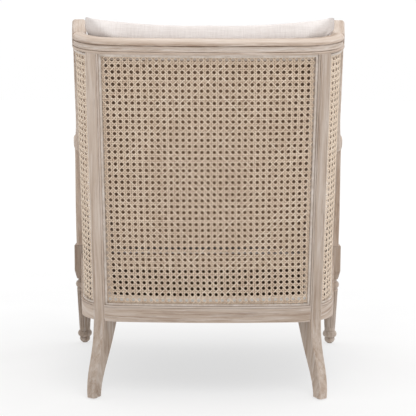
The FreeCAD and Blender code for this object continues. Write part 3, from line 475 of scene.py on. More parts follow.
UP = (0.0, SR, CR)
# the colour factors below 1 on the front legs and on the right rear leg are painted shade; the factor towards the floor
# on the rear legs paints light and shade there
OAKS = {
    "crest_rail": (None, 0.0, 1.03, 0.75, None, 0.671), "back_seat_rail": (None, 1.3, 0.97), "side_seat_rail_left": (None, 2.1, 1.0),
    "side_seat_rail_right": (None, 3.4, 1.0), "front_seat_rail": ((1, 0, 0), 4.2, 1.0),
    "rear_leg_left": (UP, 5.1, 1.03, 0.20, 0.76), "rear_leg_right": (UP, 6.7, 0.88, 0.20, 1.06),
    "wing_rail_left": ((0.11, -0.97, 0.2), 7.3, 1.0), "wing_rail_right": ((-0.11, -0.97, 0.2), 8.9, 1.0),
    "arm_left": ((0.1, -0.92, -0.36), 9.2, 1.0), "arm_right": ((-0.1, -0.92, -0.36), 10.4, 1.0),
    "arm_support_left": ((0, 0.16, 0.98), 11.8, 1.0), "arm_support_right": ((0, 0.16, 0.98), 12.6, 1.0),
    "front_leg_left": ((0, 0, 1), 13.5, 0.77, 0.6), "front_leg_right": ((0, 0, 1), 14.1, 0.88, 0.6),
}
CANE, REED = cane_material(), reed_material()
# the second pair of colours is painted shade for the rear of the cushions
LINEN = cloth_material("linen", lin(237, 231, 228), lin(214, 206, 202), 0.0016, painted_shade=(lin(176, 150, 126), lin(148, 123, 100)))
WEBBING = cloth_material("jute_webbing", lin(196, 170, 132), lin(150, 122, 86), 0.0030, 0.95, 0.1)
DECK = cloth_material("platform_cloth", lin(232, 224, 214), lin(206, 196, 184), 0.0012, 0.92, 0.15)
DUST = cloth_material("dust_cambric", lin(58, 56, 55), lin(34, 33, 33), 0.0022, 0.92, 0.1)
STEEL, NYLON, TIMBER = steel_material(), nylon_material(), hidden_wood()


def wear(node, mat):
    me = NODES[node].data
    me.materials.clear()
    me.materials.append(mat)


for node, spec in OAKS.items():
    wear(node, oak("oak_" + node, *spec))
for node in ("back_rebate_strip", "side_rebate_strip_left", "side_rebate_strip_right"):
    wear(node, oak("oak_" + node, None, 15.0 + len(node), 0.9))
for node in ("back_cane_spline", "side_cane_spline_left", "side_cane_spline_right"):
    wear(node, REED)
for node in ("front_deck_cleat", "rear_deck_cleat", "side_deck_cleat_left", "side_deck_cleat_right", "corner_blocks"):
    wear(node, TIMBER)
wear("corner_block_screws", STEEL)
wear("floor_glides", NYLON)


# ------------------------------------------------------------------ mesh helpers
def mesh_object(name, verts, faces, mat, smooth=True):
    me = bpy.data.meshes.new(name)
    me.from_pydata([tuple(v) for v in np.asarray(verts, float)], [], [tuple(int(i) for i in f) for f in faces])
    me.update()
    if smooth:
        me.polygons.foreach_set("use_smooth", np.ones(len(me.polygons), bool))
    me.materials.append(mat)
    o = bpy.data.objects.new(name, me)
    scene.collection.objects.link(o)
    return o


def coords(me):
    a = np.zeros(len(me.vertices) * 3, np.float32)
    me.vertices.foreach_get("co", a)
    return a.reshape(-1, 3).astype(float)


def set_coords(me, co):
    me.vertices.foreach_set("co", np.asarray(co, np.float32).ravel())
    me.update()


# -------------------------------------------------------------------- woven cane
P_COL, P_ROW, ROW0 = 15.2, 15.21, 25.6
CANE_T = 8.8
PAIR = 2.05
A_PAIR, A_DIAG, LIFT_DIAG = 0.28, 0.50, 0.30
SECTION = np.array([(-0.5, -0.5), (0.5, -0.5), (0.40, 0.25), (0.0, 0.5), (-0.40, 0.25)])   # width, thickness


class Weave:
    """Collects strands, each a closed ribbon along a line on the tub, and makes one mesh."""

    def __init__(self, inside, mirror=False, drawn=None, painted_side_light=0.0):
        self.inside, self.mirror, self.painted_side_light = inside, mirror, painted_side_light
        self.drawn = drawn or (lambda a, s: (a, s))
        self.v, self.f, self.tone, self.along, self.across, self.uv = [], [], [], [], [], []
        self.n = 0
        self.strips = []

    def line(self, a0, s0, a1, s1, keys, width, thick, tone):
        """keys: (parameter 0..1, outward offset) along the line from (a0, s0) to (a1, s1)."""
        length = math.hypot(a1 - a0, s1 - s0)
        m = max(3, int(length / 0.5))
        q = np.linspace(0, 1, m)
        ok = self.inside(*self.drawn(a0 + (a1 - a0) * q, s0 + (s1 - s0) * q))
        if not ok.any():
            return
        edge = np.flatnonzero(np.diff(np.concatenate([[0], ok.astype(int), [0]])))
        for i, j in zip(edge[::2], edge[1::2]):
            qa, qb = q[i], q[j - 1]
            if (qb - qa) * length < 4.0:
                continue
            kk = [(p, d) for p, d in keys if qa + 1.0 / length < p < qb - 1.0 / length]
            par = np.array([qa] + [p for p, d in kk] + [qb])
            off = np.array([0.0] + [d for p, d in kk] + [0.0])
            self.ribbon(*self.drawn(a0 + (a1 - a0) * par, s0 + (s1 - s0) * par), off, width, thick, min(1.0, tone + self.painted_side_light))

    def ribbon(self, a, s, off, width, thick, tone):
        x, u, nx, nu = plan(a, CANE_T)
        c = world(x + nx * off, u + nu * off, s)
        nrm = world(x + nx, u + nu, s) - world(x, u, s)
        nrm /= np.linalg.norm(nrm, axis=1)[:, None]
        tan = np.gradient(c, axis=0)
        tan /= np.linalg.norm(tan, axis=1)[:, None]
        side = np.cross(tan, nrm)
        side /= np.linalg.norm(side, axis=1)[:, None]
        k, n = len(SECTION), len(a)
        p = c[:, None, :] + side[:, None, :] * (SECTION[None, :, :1] * width * 0.001) + nrm[:, None, :] * (SECTION[None, :, 1:] * thick * 0.001)
        p = p.reshape(-1, 3)
        if self.mirror:
            p[:, 0] *= -1
        dist = np.concatenate([[0.0], np.cumsum(np.linalg.norm(np.diff(c, axis=0), axis=1))])
        i = np.arange(n - 1)[:, None] * k
        j = np.arange(k)[None, :]
        j2 = (j + 1) % k
        quads = np.stack([i + j, i + j2, i + k + j2, i + k + j], -1).reshape(-1, 4)
        if not self.mirror:
            quads = quads[:, ::-1]
        self.v.append(p)
        self.f.append(quads + self.n)
        first = np.arange(k) + self.n
        last = first + (n - 1) * k
        self.strips.append((len(quads), n, dist, quads, first, last))
        self.tone.append(np.full(n * k, tone))
        self.along.append(np.repeat(dist + tone * 3.1, k))
        self.across.append(np.tile(SECTION[:, 0] * width * 0.001 + SECTION[:, 1] * 0.0003, n))
        self.n += n * k

    def finish(self, name):
        k = len(SECTION)
        faces, uvs = [], []
        rows = len(self.strips)
        longest = max(st[2][-1] for st in self.strips)
        for r, (nq, n, dist, quads, first, last) in enumerate(self.strips):
            base = int(first[0])
            v0, dv = (r + 0.08) / rows, 0.84 / rows
            ring, sec = quads // k, quads % k
            # across the strip 0..1; the closing edge of the section wraps to 1
            wrap = (sec.max(1) == k - 1) & (sec.min(1) == 0)
            sv = sec.astype(float)
            sv[wrap] = np.where(sec[wrap] == 0, k, sec[wrap])
            uu = 0.002 + 0.996 * dist[ring] / longest
            uvs.append(np.stack([uu, v0 + dv * sv / k], -1).reshape(-1, 2))
            faces.append(quads + base)
        quads = np.concatenate(faces)
        caps = []
        for st in self.strips:
            f, l = list(st[4]), list(st[5])
            caps += [f[::-1], l] if self.mirror else [f, l[::-1]]
        verts = np.concatenate(self.v)
        o = mesh_object(name, verts, [tuple(q) for q in quads] + [tuple(c) for c in caps], CANE)
        me = o.data
        for nm, arr in (("tone", self.tone), ("along", self.along), ("across", self.across)):
            at = me.attributes.new(nm, "FLOAT", "POINT")
            at.data.foreach_set("value", np.concatenate(arr).astype(np.float32))
        uv = me.uv_layers.new(name="OFBake")
        full = np.concatenate(uvs)
        cap_uv = []
        for r, st in enumerate(self.strips):
            v0, dv = (r + 0.08) / rows, 0.84 / rows
            for d in (st[2][0], st[2][-1]):
                cap_uv.append(np.stack([np.full(k, 0.002 + 0.996 * d / longest) + 0.0005 * np.cos(np.arange(k) * 1.2566),
                                        np.full(k, v0 + dv * 0.5) + dv * 0.2 * np.sin(np.arange(k) * 1.2566)], -1))
        full = np.concatenate([full] + cap_uv)
        uv.data.foreach_set("uv", full.astype(np.float32).ravel())
        tri = 2 * len(quads) + 3 * len(caps)
        print("cane", name, "strands", rows, "triangles", tri)
        return o


def weave(w, cols, rows, a_rng, s_rng):
    """cols, rows: lattice numbers of the pairs; lattice point (i + 1/2, j + 1/2)."""
    rng = RNG
    tone = lambda: float(np.clip(rng.normal(0.5, 0.15), 0.0, 1.0))
    wid = lambda b: b * float(rng.normal(1.0, 0.05))
    a_lo, a_hi = a_rng
    s_lo, s_hi = s_rng
    ac = lambda i: (i + 0.5) * P_COL
    sc = lambda j: ROW0 + (j + 0.5) * P_ROW
    for i in cols:
        for v in (0, 1):
            a = ac(i) + (PAIR if v else -PAIR) + float(rng.normal(0, 0.12))
            keys = []
            for j in rows:
                for h in (0, 1):
                    sgn = 1.0 if (v + h + i + j) % 2 == 0 else -1.0
                    keys.append(((sc(j) + (PAIR if h else -PAIR) - s_lo) / (s_hi - s_lo), sgn * A_PAIR))
            w.line(a, s_lo, a, s_hi, keys, wid(2.6), 0.65, tone())
    for j in rows:
        for h in (0, 1):
            s = sc(j) + (PAIR if h else -PAIR) + float(rng.normal(0, 0.12))
            keys = []
            for i in cols:
                for v in (0, 1):
                    sgn = -1.0 if (v + h + i + j) % 2 == 0 else 1.0
                    keys.append(((ac(i) + (PAIR if v else -PAIR) - a_lo) / (a_hi - a_lo), sgn * A_PAIR))
            w.line(a_lo, s, a_hi, s, keys, wid(2.6), 0.65, tone())
    c0, c1 = int(math.floor(a_lo / P_COL)) - 1, int(math.ceil(a_hi / P_COL)) + 1
    r0, r1 = int(math.floor((s_lo - ROW0) / P_ROW)) - 1, int(math.ceil((s_hi - ROW0) / P_ROW)) + 1
    for slope in (1, -1):
        # p - slope * q = k + 1/2, p across and q up, in pitches
        ks = range(c0 - r1, c1 - r0 + 1) if slope == 1 else range(c0 + r0, c1 + r1 + 1)
        for k in ks:
            q0, q1 = r0, r1
            p0, p1 = k + 0.5 + slope * q0, k + 0.5 + slope * q1
            keys = []
            for n in range(2 * (q1 - q0) + 1):
                q = q0 + n / 2
                up = (n + 2 * q0) % 2 == 0
                keys.append(((q - q0) / (q1 - q0), LIFT_DIAG + (A_DIAG if up == (slope == 1) else -A_DIAG)))
            # painted highlight: the diagonals are drawn paler, standing in for the light they catch lying on top
            w.line(p0 * P_COL, ROW0 + q0 * P_ROW, p1 * P_COL, ROW0 + q1 * P_ROW, keys, wid(2.35), 0.6, min(1.0, tone() + 0.22))


A_POST_A = arc_at(CANE_T, POST_A) - 0.6
A_POST_B = arc_at(CANE_T, POST_B) + 0.6


def in_back(a, s):
    x, u, _, _ = plan(a, CANE_T)
    z = RAIL_TOP + u * SR + s * CR
    return (np.abs(a) <= A_POST_A) & (z >= RAIL_TOP + 0.8) & (s <= PANEL_S - 0.8)


DRAWN_A = (-0.664, 1.326, 1.989, 0.436, -2.870, 0.707, 3.836, 0.419)
DRAWN_S = (1.455, -1.727, 9.255, 0.750, -5.235, -0.889, -0.823, 0.725)


def drawn_back(a, s):
    """The even lattice as it sits in the back: pulled tighter low down and a little askew."""
    p, q = a / 260.0, (s - 325.0) / 325.0
    terms = (1.0, p, q, p * q, q * q, p * p, q ** 3, p * q * q)
    return a + sum(c * k for c, k in zip(DRAWN_A, terms)), s + sum(c * k for c, k in zip(DRAWN_S, terms))


back = Weave(in_back, False, drawn_back)
weave(back, range(-20, 20), range(-2, 43), (-A_POST_A - 16.0, A_POST_A + 16.0), (-10.0, PANEL_S + 12.0))
back_cane = back.finish("back_cane_weave")
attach(back_cane, "frame"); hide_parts("back_cane_panel")


# narrow cloth tape behind the lowest row of holes
ta = np.linspace(-A_POST_A + 1.0, A_POST_A - 1.0, 121)
tx, tu, tnx, tnu = plan(ta, 9.75)
tape_v, tape_f = [], []
for d, s in ((0.0, 0.0), (0.0, 25.0), (0.2, 25.0), (0.2, 0.0)):
    sv = np.full(len(ta), s) + (0.9 - tu * SR / CR if s == 0.0 else 0.5 * np.sin(ta * 0.21) + 0.35 * np.sin(ta * 0.077 + 1.0))
    tape_v.append(world(tx - tnx * d, tu - tnu * d, sv))
tape_v = np.stack(tape_v, 1).reshape(-1, 3)
for i in range(len(ta) - 1):
    for j in range(4):
        k = (j + 1) % 4
        tape_f.append((i * 4 + j, i * 4 + k, i * 4 + 4 + k, i * 4 + 4 + j))
tape_f += [(3, 2, 1, 0), tuple(len(tape_v) - 4 + j for j in range(4))]
TAPE = cloth_material("cotton_tape", lin(216, 212, 208), lin(190, 183, 176), 0.0011)
tape = mesh_object("back_cane_tape", tape_v, tape_f, TAPE, False)
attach(tape, "frame")


# outline of the side opening
def side_path(w):
    """Points of the top line of wing and arm, drawn in by w: y falls, z."""
    u0, s0 = -80.0, CREST_S - 4.0
    p = [BACK_Y - u0 * CR + s0 * SR, RAIL_TOP + u0 * SR + s0 * CR]
    al = RAKE + math.radians(1.2)
    pts = []
    for kind, a, b in (("L", 365.0, 0), ("A", 60.0, -96.2), ("L", 109.0, 0), ("A", 185.0, 84.9), ("L", 139.0, 0)):
        if kind == "L":
            n = (-math.sin(al), -math.cos(al))
            for k in np.linspace(0, a, 12):
                pts.append((p[0] - k * math.cos(al) + w * n[0], p[1] + k * math.sin(al) + w * n[1]))
            p = [p[0] - a * math.cos(al), p[1] + a * math.sin(al)]
        else:
            sg = 1.0 if b < 0 else -1.0
            n = (-math.sin(al), -math.cos(al))
            c = (p[0] + sg * a * n[0], p[1] + sg * a * n[1])
            for q in np.linspace(al, al + math.radians(b), 40):
                nn = (-math.sin(q), -math.cos(q))
                pts.append((c[0] - (sg * a - w) * nn[0], c[1] - (sg * a - w) * nn[1]))
            al += math.radians(b)
            nn = (-math.sin(al), -math.cos(al))
            p = [c[0] - sg * a * nn[0], c[1] - sg * a * nn[1]]
    return np.array(pts)


TOP_LINE = side_path(BAND + 0.8)
TOP_LINE = TOP_LINE[np.argsort(TOP_LINE[:, 0])]


def smooth_curve(pts, n=40):
    """Points of a smooth curve through the given ones."""
    p = np.array(pts, float)
    p = np.vstack([2 * p[0] - p[1], p, 2 * p[-1] - p[-2]])
    out = []
    for i in range(1, len(p) - 2):
        for k in np.linspace(0, 1, n, endpoint=False):
            a, b, c, d = p[i - 1], p[i], p[i + 1], p[i + 2]
            out.append(0.5 * ((2 * b) + (c - a) * k + (2 * a - 5 * b + 4 * c - d) * k * k + (3 * b - a - 3 * c + d) * k ** 3))
    out.append(p[-2])
    return np.array(out)


SUP_LINE = smooth_curve(SUP_REAR)


def in_side(a, s):
    x, u, _, _ = plan(a, CANE_T)
    p = world(x, u, s) * 1000.0
    y, z = p[..., 1] - Y_SHIFT, p[..., 2]
    top = np.interp(y, TOP_LINE[:, 0], TOP_LINE[:, 1])
    front = np.interp(z, SUP_LINE[:, 1], SUP_LINE[:, 0]) + 0.8
    rail = RAIL_TOP + np.maximum(0.0, RAIL_Y0 - y) / (RAIL_Y0 - SIDE_RAIL_FRONT) * (RAIL_FRONT_TOP - RAIL_TOP) + 0.8
    return (a >= A_POST_B) & (s <= PANEL_S - 0.8) & (z <= top) & (y >= front) & (z >= rail)


A_SIDE_END = A_POST_B + 680.0
for side_name, flipped in (("left", False), ("right", True)):
    # painted light: the strands of the side panels are drawn paler, standing in for the light that falls on the sides
    wv = Weave(in_side, flipped, None, 0.32)
    i0, i1 = int(A_POST_B // P_COL) - 1, int(A_SIDE_END // P_COL) + 1
    weave(wv, range(i0, i1), range(-9, 42), (A_POST_B - 2.0, A_SIDE_END), (-110.0, PANEL_S))
    o = wv.finish("side_cane_weave_" + side_name)
    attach(o, "frame"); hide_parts("side_cane_panel_" + side_name)


# ---------------------------------------------------------------------- cushions
def run_cloth(o, frames, pressure, pin=None, tension=15.0, bend=0.5, mass=0.3, quality=6):
    """Inflates o and returns its new points; nothing is left on the object."""
    md = o.modifiers.new("Cloth", "CLOTH")
    c = md.settings
    c.quality, c.mass = quality, mass
    c.tension_stiffness = c.compression_stiffness = tension
    c.shear_stiffness, c.bending_stiffness = 5.0, bend
    c.use_pressure, c.uniform_pressure_force = True, pressure
    c.effector_weights.gravity = 0.0
    if pin:
        c.vertex_group_mass = pin
        c.pin_stiffness = 1.0
    md.collision_settings.use_collision = False
    md.collision_settings.use_self_collision = False
    md.point_cache.frame_start, md.point_cache.frame_end = 1, frames
    for f in range(1, frames + 1):
        scene.frame_set(f)
    ev = o.evaluated_get(bpy.context.evaluated_depsgraph_get())
    me = ev.to_mesh()
    co = coords(me)
    ev.to_mesh_clear()
    o.modifiers.remove(md)
    scene.frame_set(1)
    return co


def smoothstep(a, b, v):
    k = np.clip((v - a) / (b - a), 0.0, 1.0)
    return k * k * (3 - 2 * k)


def waves(p, seed, scale, n=14):
    """Seeded sum of sines: gentle unevenness of stuffed cloth, about -1..1."""
    r = np.random.default_rng(seed)
    out = np.zeros(len(p))
    for _ in range(n):
        d = r.normal(size=3)
        d *= r.uniform(0.6, 1.6) / np.linalg.norm(d)
        out += np.sin((p @ d) * 2 * math.pi / scale + r.uniform(0, 2 * math.pi))
    return out / math.sqrt(n)


# back cushion: two panels sewn round the edge, blown up, then settled into the tub
BX, BS = 33, 33
W0, H0 = 0.640, 0.640


def pillow_mesh():
    xs = np.linspace(-1, 1, 2 * BX + 1)
    verts, index = [], {}
    faces = []
    rc = 0.05   # corner rounding, share of the half side

    def flat(p, q):
        k = max(abs(p), abs(q))
        # ease the corners of the cut a little
        c = max(0.0, abs(p) + abs(q) - 2 + rc * 2) * 0.5
        return p * W0 / 2 * (1 - c * 0.35), q * H0 / 2 * (1 - c * 0.35)

    for side in (1, -1):
        for i, p in enumerate(xs):
            for j, q in enumerate(xs):
                edge = i in (0, 2 * BX) or j in (0, 2 * BX)
                if edge and (0, i, j) in index:
                    continue
                x, s = flat(p, q)
                h = 0.0 if edge else side * 0.045 * (1 - p ** 4) * (1 - q ** 4)
                index[(0 if edge else side, i, j)] = len(verts)
                verts.append((x, h, s))
    at = lambda side, i, j: index[(0, i, j)] if (0, i, j) in index else index[(side, i, j)]
    for side in (1, -1):
        for i in range(2 * BX):
            for j in range(2 * BX):
                f = (at(side, i, j), at(side, i + 1, j), at(side, i + 1, j + 1), at(side, i, j + 1))
                faces.append(f[::-1] if side == 1 else f)
    return np.array(verts), faces, index


pv, pf, pindex = pillow_mesh()
back_cushion = mesh_object("back_cushion_cover", pv, pf, LINEN)
co = run_cloth(back_cushion, 36, 5.0, None, 12.0, 0.8)
# the seam draws in between the corners, which are left standing as ears
BC_W, BC_LOW, BC_TOP, BC_MID, BC_REAR, BC_FRONT = 300.0, 88.0, 733.0, 112.0, 71.0, 84.0
gp, gq = pv[:, 0] / (W0 / 2), pv[:, 2] / (H0 / 2)
px = gp * (BC_W - 14.0 * (1 - np.abs(gq) ** 2.6) * gp ** 2)
ps = (BC_TOP + BC_LOW) / 2 + gq * ((BC_TOP - BC_LOW) / 2 - 21.5 * (1 - np.abs(gp) ** 2.6) * gq ** 2)
# the upper corners spread over the wings, one more than the other
spread = np.maximum(5.0 * smoothstep(630.0, 664.0, ps), np.where(px < 0, 17.0, 10.0) * smoothstep(681.0, 690.0, ps))
px = px + np.sign(px) * spread * smoothstep(0.66, 0.92, np.abs(gp))
print("pillow after swelling", np.abs(co).max(0))
# depth from the swelling: n forward
lo, hi = co[:, 1].min(), co[:, 1].max()
wall = plan(np.linspace(0.0, arc_at(41.0, math.radians(80.0)), 400), 41.0)[:2]
n_r = np.clip(co[:, 1] / hi, 0, 1)     # +y is the rear
n_f = np.clip(co[:, 1] / lo, 0, 1)
full = lambda k, e: 1 - (1 - k) ** e
ear = 7.0 * smoothstep(0.66, 0.92, np.abs(gp)) * smoothstep(0.66, 0.92, gq)
# the top leans back on to the crest
mid = BC_MID - 30.0 * smoothstep(480.0, 725.0, ps)
pu = mid - (BC_REAR - (BC_MID - mid)) * full(n_r, 1.6 + 1.6 * smoothstep(560.0, 700.0, ps) + 5.0 * smoothstep(260.0, 130.0, ps) + ear) + (BC_FRONT + 0.35 * (BC_MID - mid)) * full(n_f, 1.15 + ear)
# nothing goes through the wall of the tub
pu = np.maximum(pu, np.interp(np.abs(px), *[q[np.argsort(wall[0])] for q in wall]) + 0.0)
p3 = np.stack([px, pu, ps], -1)
amp = waves(p3, 5, 190.0) * 1.6 + waves(p3, 9, 85.0) * 0.7
pu = pu + np.where(n_r > n_f, -amp, amp) * np.clip(n_r + n_f, 0, 1)
# settle on the seat: the lower edge flattens instead of sinking in
x3 = world(px, pu, ps) * 1000.0
seat_top = deck_z(x3[:, 1] - Y_SHIFT) + (8.0 + SEAT_THICK + 2.0) / math.cos(DK)
high = x3[:, 2] - seat_top
ps = ps + np.where(high < 12.0, 12.0 * np.exp((high - 12.0) / 12.0) - high, 0.0) / CR
set_coords(back_cushion.data, world(px, pu, ps))
# painted shade: the rear of the back cushion below the crest, in shadow behind the cane
painted_shade_at = back_cushion.data.attributes.new("painted_shade", "FLOAT", "POINT")
painted_shade_at.data.foreach_set("value", ((n_f < 0.02) & (ps < 668.0) & (np.abs(px) < 268.0)).astype(np.float32))
sub = back_cushion.modifiers.new("Smooth", "SUBSURF")
sub.levels = sub.render_levels = 1
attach(back_cushion, "back_cushion_body"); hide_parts("back_cushion")


# seat cushion: boxed, welted top and bottom
def plan_half(u, t):
    """Half width of the room inside the tub at depth t, at distance u from the back."""
    a = np.linspace(0, 1400, 2801)
    x, uu, _, _ = plan(a, t)
    return np.interp(u, uu, x)


def seat_outline(n=240):
    """Plan of the seat cushion in the plane of the deck: x and distance forward along the deck, mm."""
    ys = np.linspace(176.0, -398.0, 400)
    zs = deck_z(ys) + 80.0
    _, u, _ = lean(np.stack([ys * 0, (ys + Y_SHIFT), zs], -1) * 0.001)
    hx = plan_half(u, 52.0)
    f = (DECK_Y0 - ys) / math.cos(DK)
    # round the front corners
    r = 34.0
    d = f[-1] - f
    hx = np.where(d < r, hx - (r - np.sqrt(np.maximum(r * r - (r - d) ** 2, 0.0))), hx)
    right = np.stack([hx, f], -1)
    left = right[::-1] * (-1, 1)
    ring = np.vstack([right, left])
    seg = np.linalg.norm(np.diff(np.vstack([ring, ring[:1]]), axis=0), axis=1)
    dist = np.concatenate([[0], np.cumsum(seg)])
    q = np.linspace(0, dist[-1], n, endpoint=False)
    rr = np.vstack([ring, ring[:1]])
    return np.stack([np.interp(q, dist, rr[:, 0]), np.interp(q, dist, rr[:, 1])], -1)


def deck_world(x, f, h):
    """x across, f forward along the deck from its rear point, h above it; to metres."""
    c, s = math.cos(DK), math.sin(DK)
    y = DECK_Y0 - f * c + h * s
    z = DECK_Z0 + f * s + h * c
    return np.stack([x, y + Y_SHIFT, z], -1) * 0.001


def fill_outline(ring, step):
    """Triangles filling a closed outline, with an even grid of points inside it."""
    lo, hi = ring.min(0), ring.max(0)
    gx = np.arange(lo[0] + step / 2, hi[0], step)
    gy = np.arange(lo[1] + step / 2, hi[1], step * 0.866)
    pts = []
    nx = len(ring)
    nxt = np.roll(ring, -1, axis=0)
    for r, y in enumerate(gy):
        row = np.stack([gx + (step / 2 if r % 2 else 0.0), np.full(len(gx), y)], -1)
        # inside, and not too near the outline
        inside = np.zeros(len(row), bool)
        for a, b in zip(ring, nxt):
            cross = ((a[1] > row[:, 1]) != (b[1] > row[:, 1]))
            with np.errstate(divide="ignore", invalid="ignore"):
                xx = (b[0] - a[0]) * (row[:, 1] - a[1]) / (b[1] - a[1]) + a[0]
            inside ^= cross & (row[:, 0] < xx)
        near = np.full(len(row), 1e9)
        for i0 in range(0, nx, 64):
            d = np.linalg.norm(row[:, None, :] - ring[None, i0:i0 + 64, :], axis=2)
            near = np.minimum(near, d.min(1))
        pts.append(row[inside & (near > step * 0.55)])
    pts = np.vstack(pts)
    allp = np.vstack([ring, pts])
    edges = [(i, (i + 1) % nx) for i in range(nx)]
    v, e, f, ov, oe, of_ = delaunay_2d_cdt([Vector(p) for p in allp], edges, [], 1, 1e-5)
    return np.array([tuple(q) for q in v]), [tuple(q) for q in f], [list(o) for o in ov]


ring = seat_outline()
NR = len(ring)
v2, f2, orig = fill_outline(ring, 13.0)
# the outline's own points, in order
where = {}
for i, o in enumerate(orig):
    for k in o:
        where[k] = i
loop = [where[k] for k in range(NR)]
nb = len(v2)
ROWS = 11
H_LOW, H_TOP = 9.5, 8.0 + SEAT_THICK - 3.0
# the middle of the plan, from which the welts are set out below
centre = ring.mean(0)
verts = [deck_world(v2[:, 0], v2[:, 1], H_LOW), deck_world(v2[:, 0], v2[:, 1], H_TOP)]
faces = [tuple(reversed(f)) for f in f2] + [tuple(i + nb for i in f) for f in f2]
area2 = sum((v2[f[1]][0] - v2[f[0]][0]) * (v2[f[2]][1] - v2[f[0]][1]) - (v2[f[2]][0] - v2[f[0]][0]) * (v2[f[1]][1] - v2[f[0]][1]) for f in f2)
rows = [[i for i in loop]]
base = 2 * nb
for r in range(1, ROWS):
    verts.append(deck_world(ring[:, 0], ring[:, 1], H_LOW + (H_TOP - H_LOW) * r / ROWS))
    rows.append(list(range(base, base + NR)))
    base += NR
rows.append([i + nb for i in loop])
ring_area = 0.5 * np.sum(ring[:, 0] * np.roll(ring[:, 1], -1) - np.roll(ring[:, 0], -1) * ring[:, 1])
box_faces = []
for r in range(ROWS):
    for i in range(NR):
        j = (i + 1) % NR
        q = (rows[r][i], rows[r][j], rows[r + 1][j], rows[r + 1][i])
        box_faces.append(q if ring_area < 0 else q[::-1])
# forward runs against +y, so the winding of the plan is mirrored
if area2 > 0:
    faces = [tuple(reversed(f)) for f in faces]
faces += box_faces
seat_verts = np.vstack(verts)
seat_cushion = mesh_object("seat_cushion_cover", seat_verts, faces, LINEN)
h_of = lambda p: (p[:, 2] * 1000 - DECK_Z0) * math.cos(DK) + (p[:, 1] * 1000 - Y_SHIFT - DECK_Y0) * math.sin(DK)
f_of = lambda p: (DECK_Y0 - (p[:, 1] * 1000 - Y_SHIFT)) * math.cos(DK) + (p[:, 2] * 1000 - DECK_Z0) * math.sin(DK)
vg = seat_cushion.vertex_groups.new(name="pin")
seam = set(rows[0]) | set(rows[-1])
vg.add([int(i) for i in sorted(seam | set(range(nb)))], 1.0, "REPLACE")
co = run_cloth(seat_cushion, 22, 6.0, "pin", 12.0, 0.6)
seat_cushion.vertex_groups.clear()
move = co - seat_verts
print("seat swell mm", np.abs(move).max() * 1000)
# cap the swelling: 24 mm up on top, 9 mm on the boxing, none where it lies on the deck
up_dir = np.array([0, math.sin(DK), math.cos(DK)])
is_top = np.zeros(len(co), bool); is_top[nb:2 * nb] = True
is_box = np.zeros(len(co), bool); is_box[2 * nb:] = True
rise = move @ up_dir * 1000
fw = f_of(seat_verts)
cap = 24.0 * smoothstep(120.0, 300.0, fw) + 1.0
peak = max(rise[is_top].max(), 1e-6)
crown = rise / peak
new = seat_verts.copy()
new[is_top] += (crown[is_top] * cap[is_top] * 0.001)[:, None] * up_dir
out = move - np.outer(move @ up_dir, up_dir)
mag = np.linalg.norm(out, axis=1)
pk = max(mag[is_box].max(), 1e-9)
scale = np.minimum(0.009 / pk, 1.0)
new[is_box] += out[is_box] * scale + np.outer(move[is_box] @ up_dir, up_dir) * 0.3
un = waves(new * 1000, 21, 210.0) * 1.5 + waves(new * 1000, 22, 90.0) * 0.6
soft = np.zeros(len(new)); soft[is_top] = np.clip(crown[is_top] * 2.5, 0, 1) * smoothstep(60.0, 260.0, fw[is_top])
new += (un * soft * 0.001)[:, None] * up_dir
set_coords(seat_cushion.data, new)
painted_shade_at = seat_cushion.data.attributes.new("painted_shade", "FLOAT", "POINT")
# painted shade on the rear strip of the boxing, seen through the cane: tan above, painted shadow much darker below
painted_shade_mask = lambda q, on: np.where(on & (f_of(q) < 60.0), np.where(h_of(q) < 106.0, 2.0, 1.0), 0.0).astype(np.float32)
painted_shade_at.data.foreach_set("value", painted_shade_mask(new, is_box))
sub = seat_cushion.modifiers.new("Smooth", "SUBSURF")
sub.levels = sub.render_levels = 1
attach(seat_cushion, "seat_cushion_body"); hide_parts("seat_cushion")


def tube(name, path, radius, mat, sides=8, closed=True):
    """Round cord along a closed line of points in metres."""
    p = np.asarray(path, float)
    n = len(p)
    tan = np.roll(p, -1, axis=0) - np.roll(p, 1, axis=0)
    tan /= np.linalg.norm(tan, axis=1)[:, None]
    ref = np.array([0, 0, 1.0])
    a = np.cross(tan, ref); a /= np.linalg.norm(a, axis=1)[:, None]
    b = np.cross(tan, a)
    ang = np.arange(sides) * 2 * math.pi / sides
    v = p[:, None, :] + radius * (np.cos(ang)[None, :, None] * a[:, None, :] + np.sin(ang)[None, :, None] * b[:, None, :])
    v = v.reshape(-1, 3)
    f = []
    for i in range(n):
        k = (i + 1) % n
        for j in range(sides):
            l = (j + 1) % sides
            f.append((i * sides + j, k * sides + j, k * sides + l, i * sides + l))
    return v, f


wv_, wf_ = [], []
# the lower cord lies on the deck, and both are pressed into the cushion where the posts stand
for h in (H_LOW + 3.5, H_TOP):
    dirv = ring - centre
    dirv /= np.linalg.norm(dirv, axis=1)[:, None]
    dirv *= (1.2 - 5.6 * smoothstep(140.0, 60.0, ring[:, 1]))[:, None]
    path = deck_world(ring[:, 0] + dirv[:, 0], ring[:, 1] + dirv[:, 1], np.full(NR, h))
    v, f = tube("w", path, 0.0042, LINEN)
    wf_ += [tuple(i + sum(len(q) for q in wv_) for i in g) for g in f]
    wv_.append(v)
welt = mesh_object("seat_cushion_welt", np.vstack(wv_), wf_, LINEN)
# the same painted shade on the welts at the rear
painted_shade_at = welt.data.attributes.new("painted_shade", "FLOAT", "POINT")
painted_shade_at.data.foreach_set("value", painted_shade_mask(np.vstack(wv_), True))
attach(welt, "seat_cushion_body")


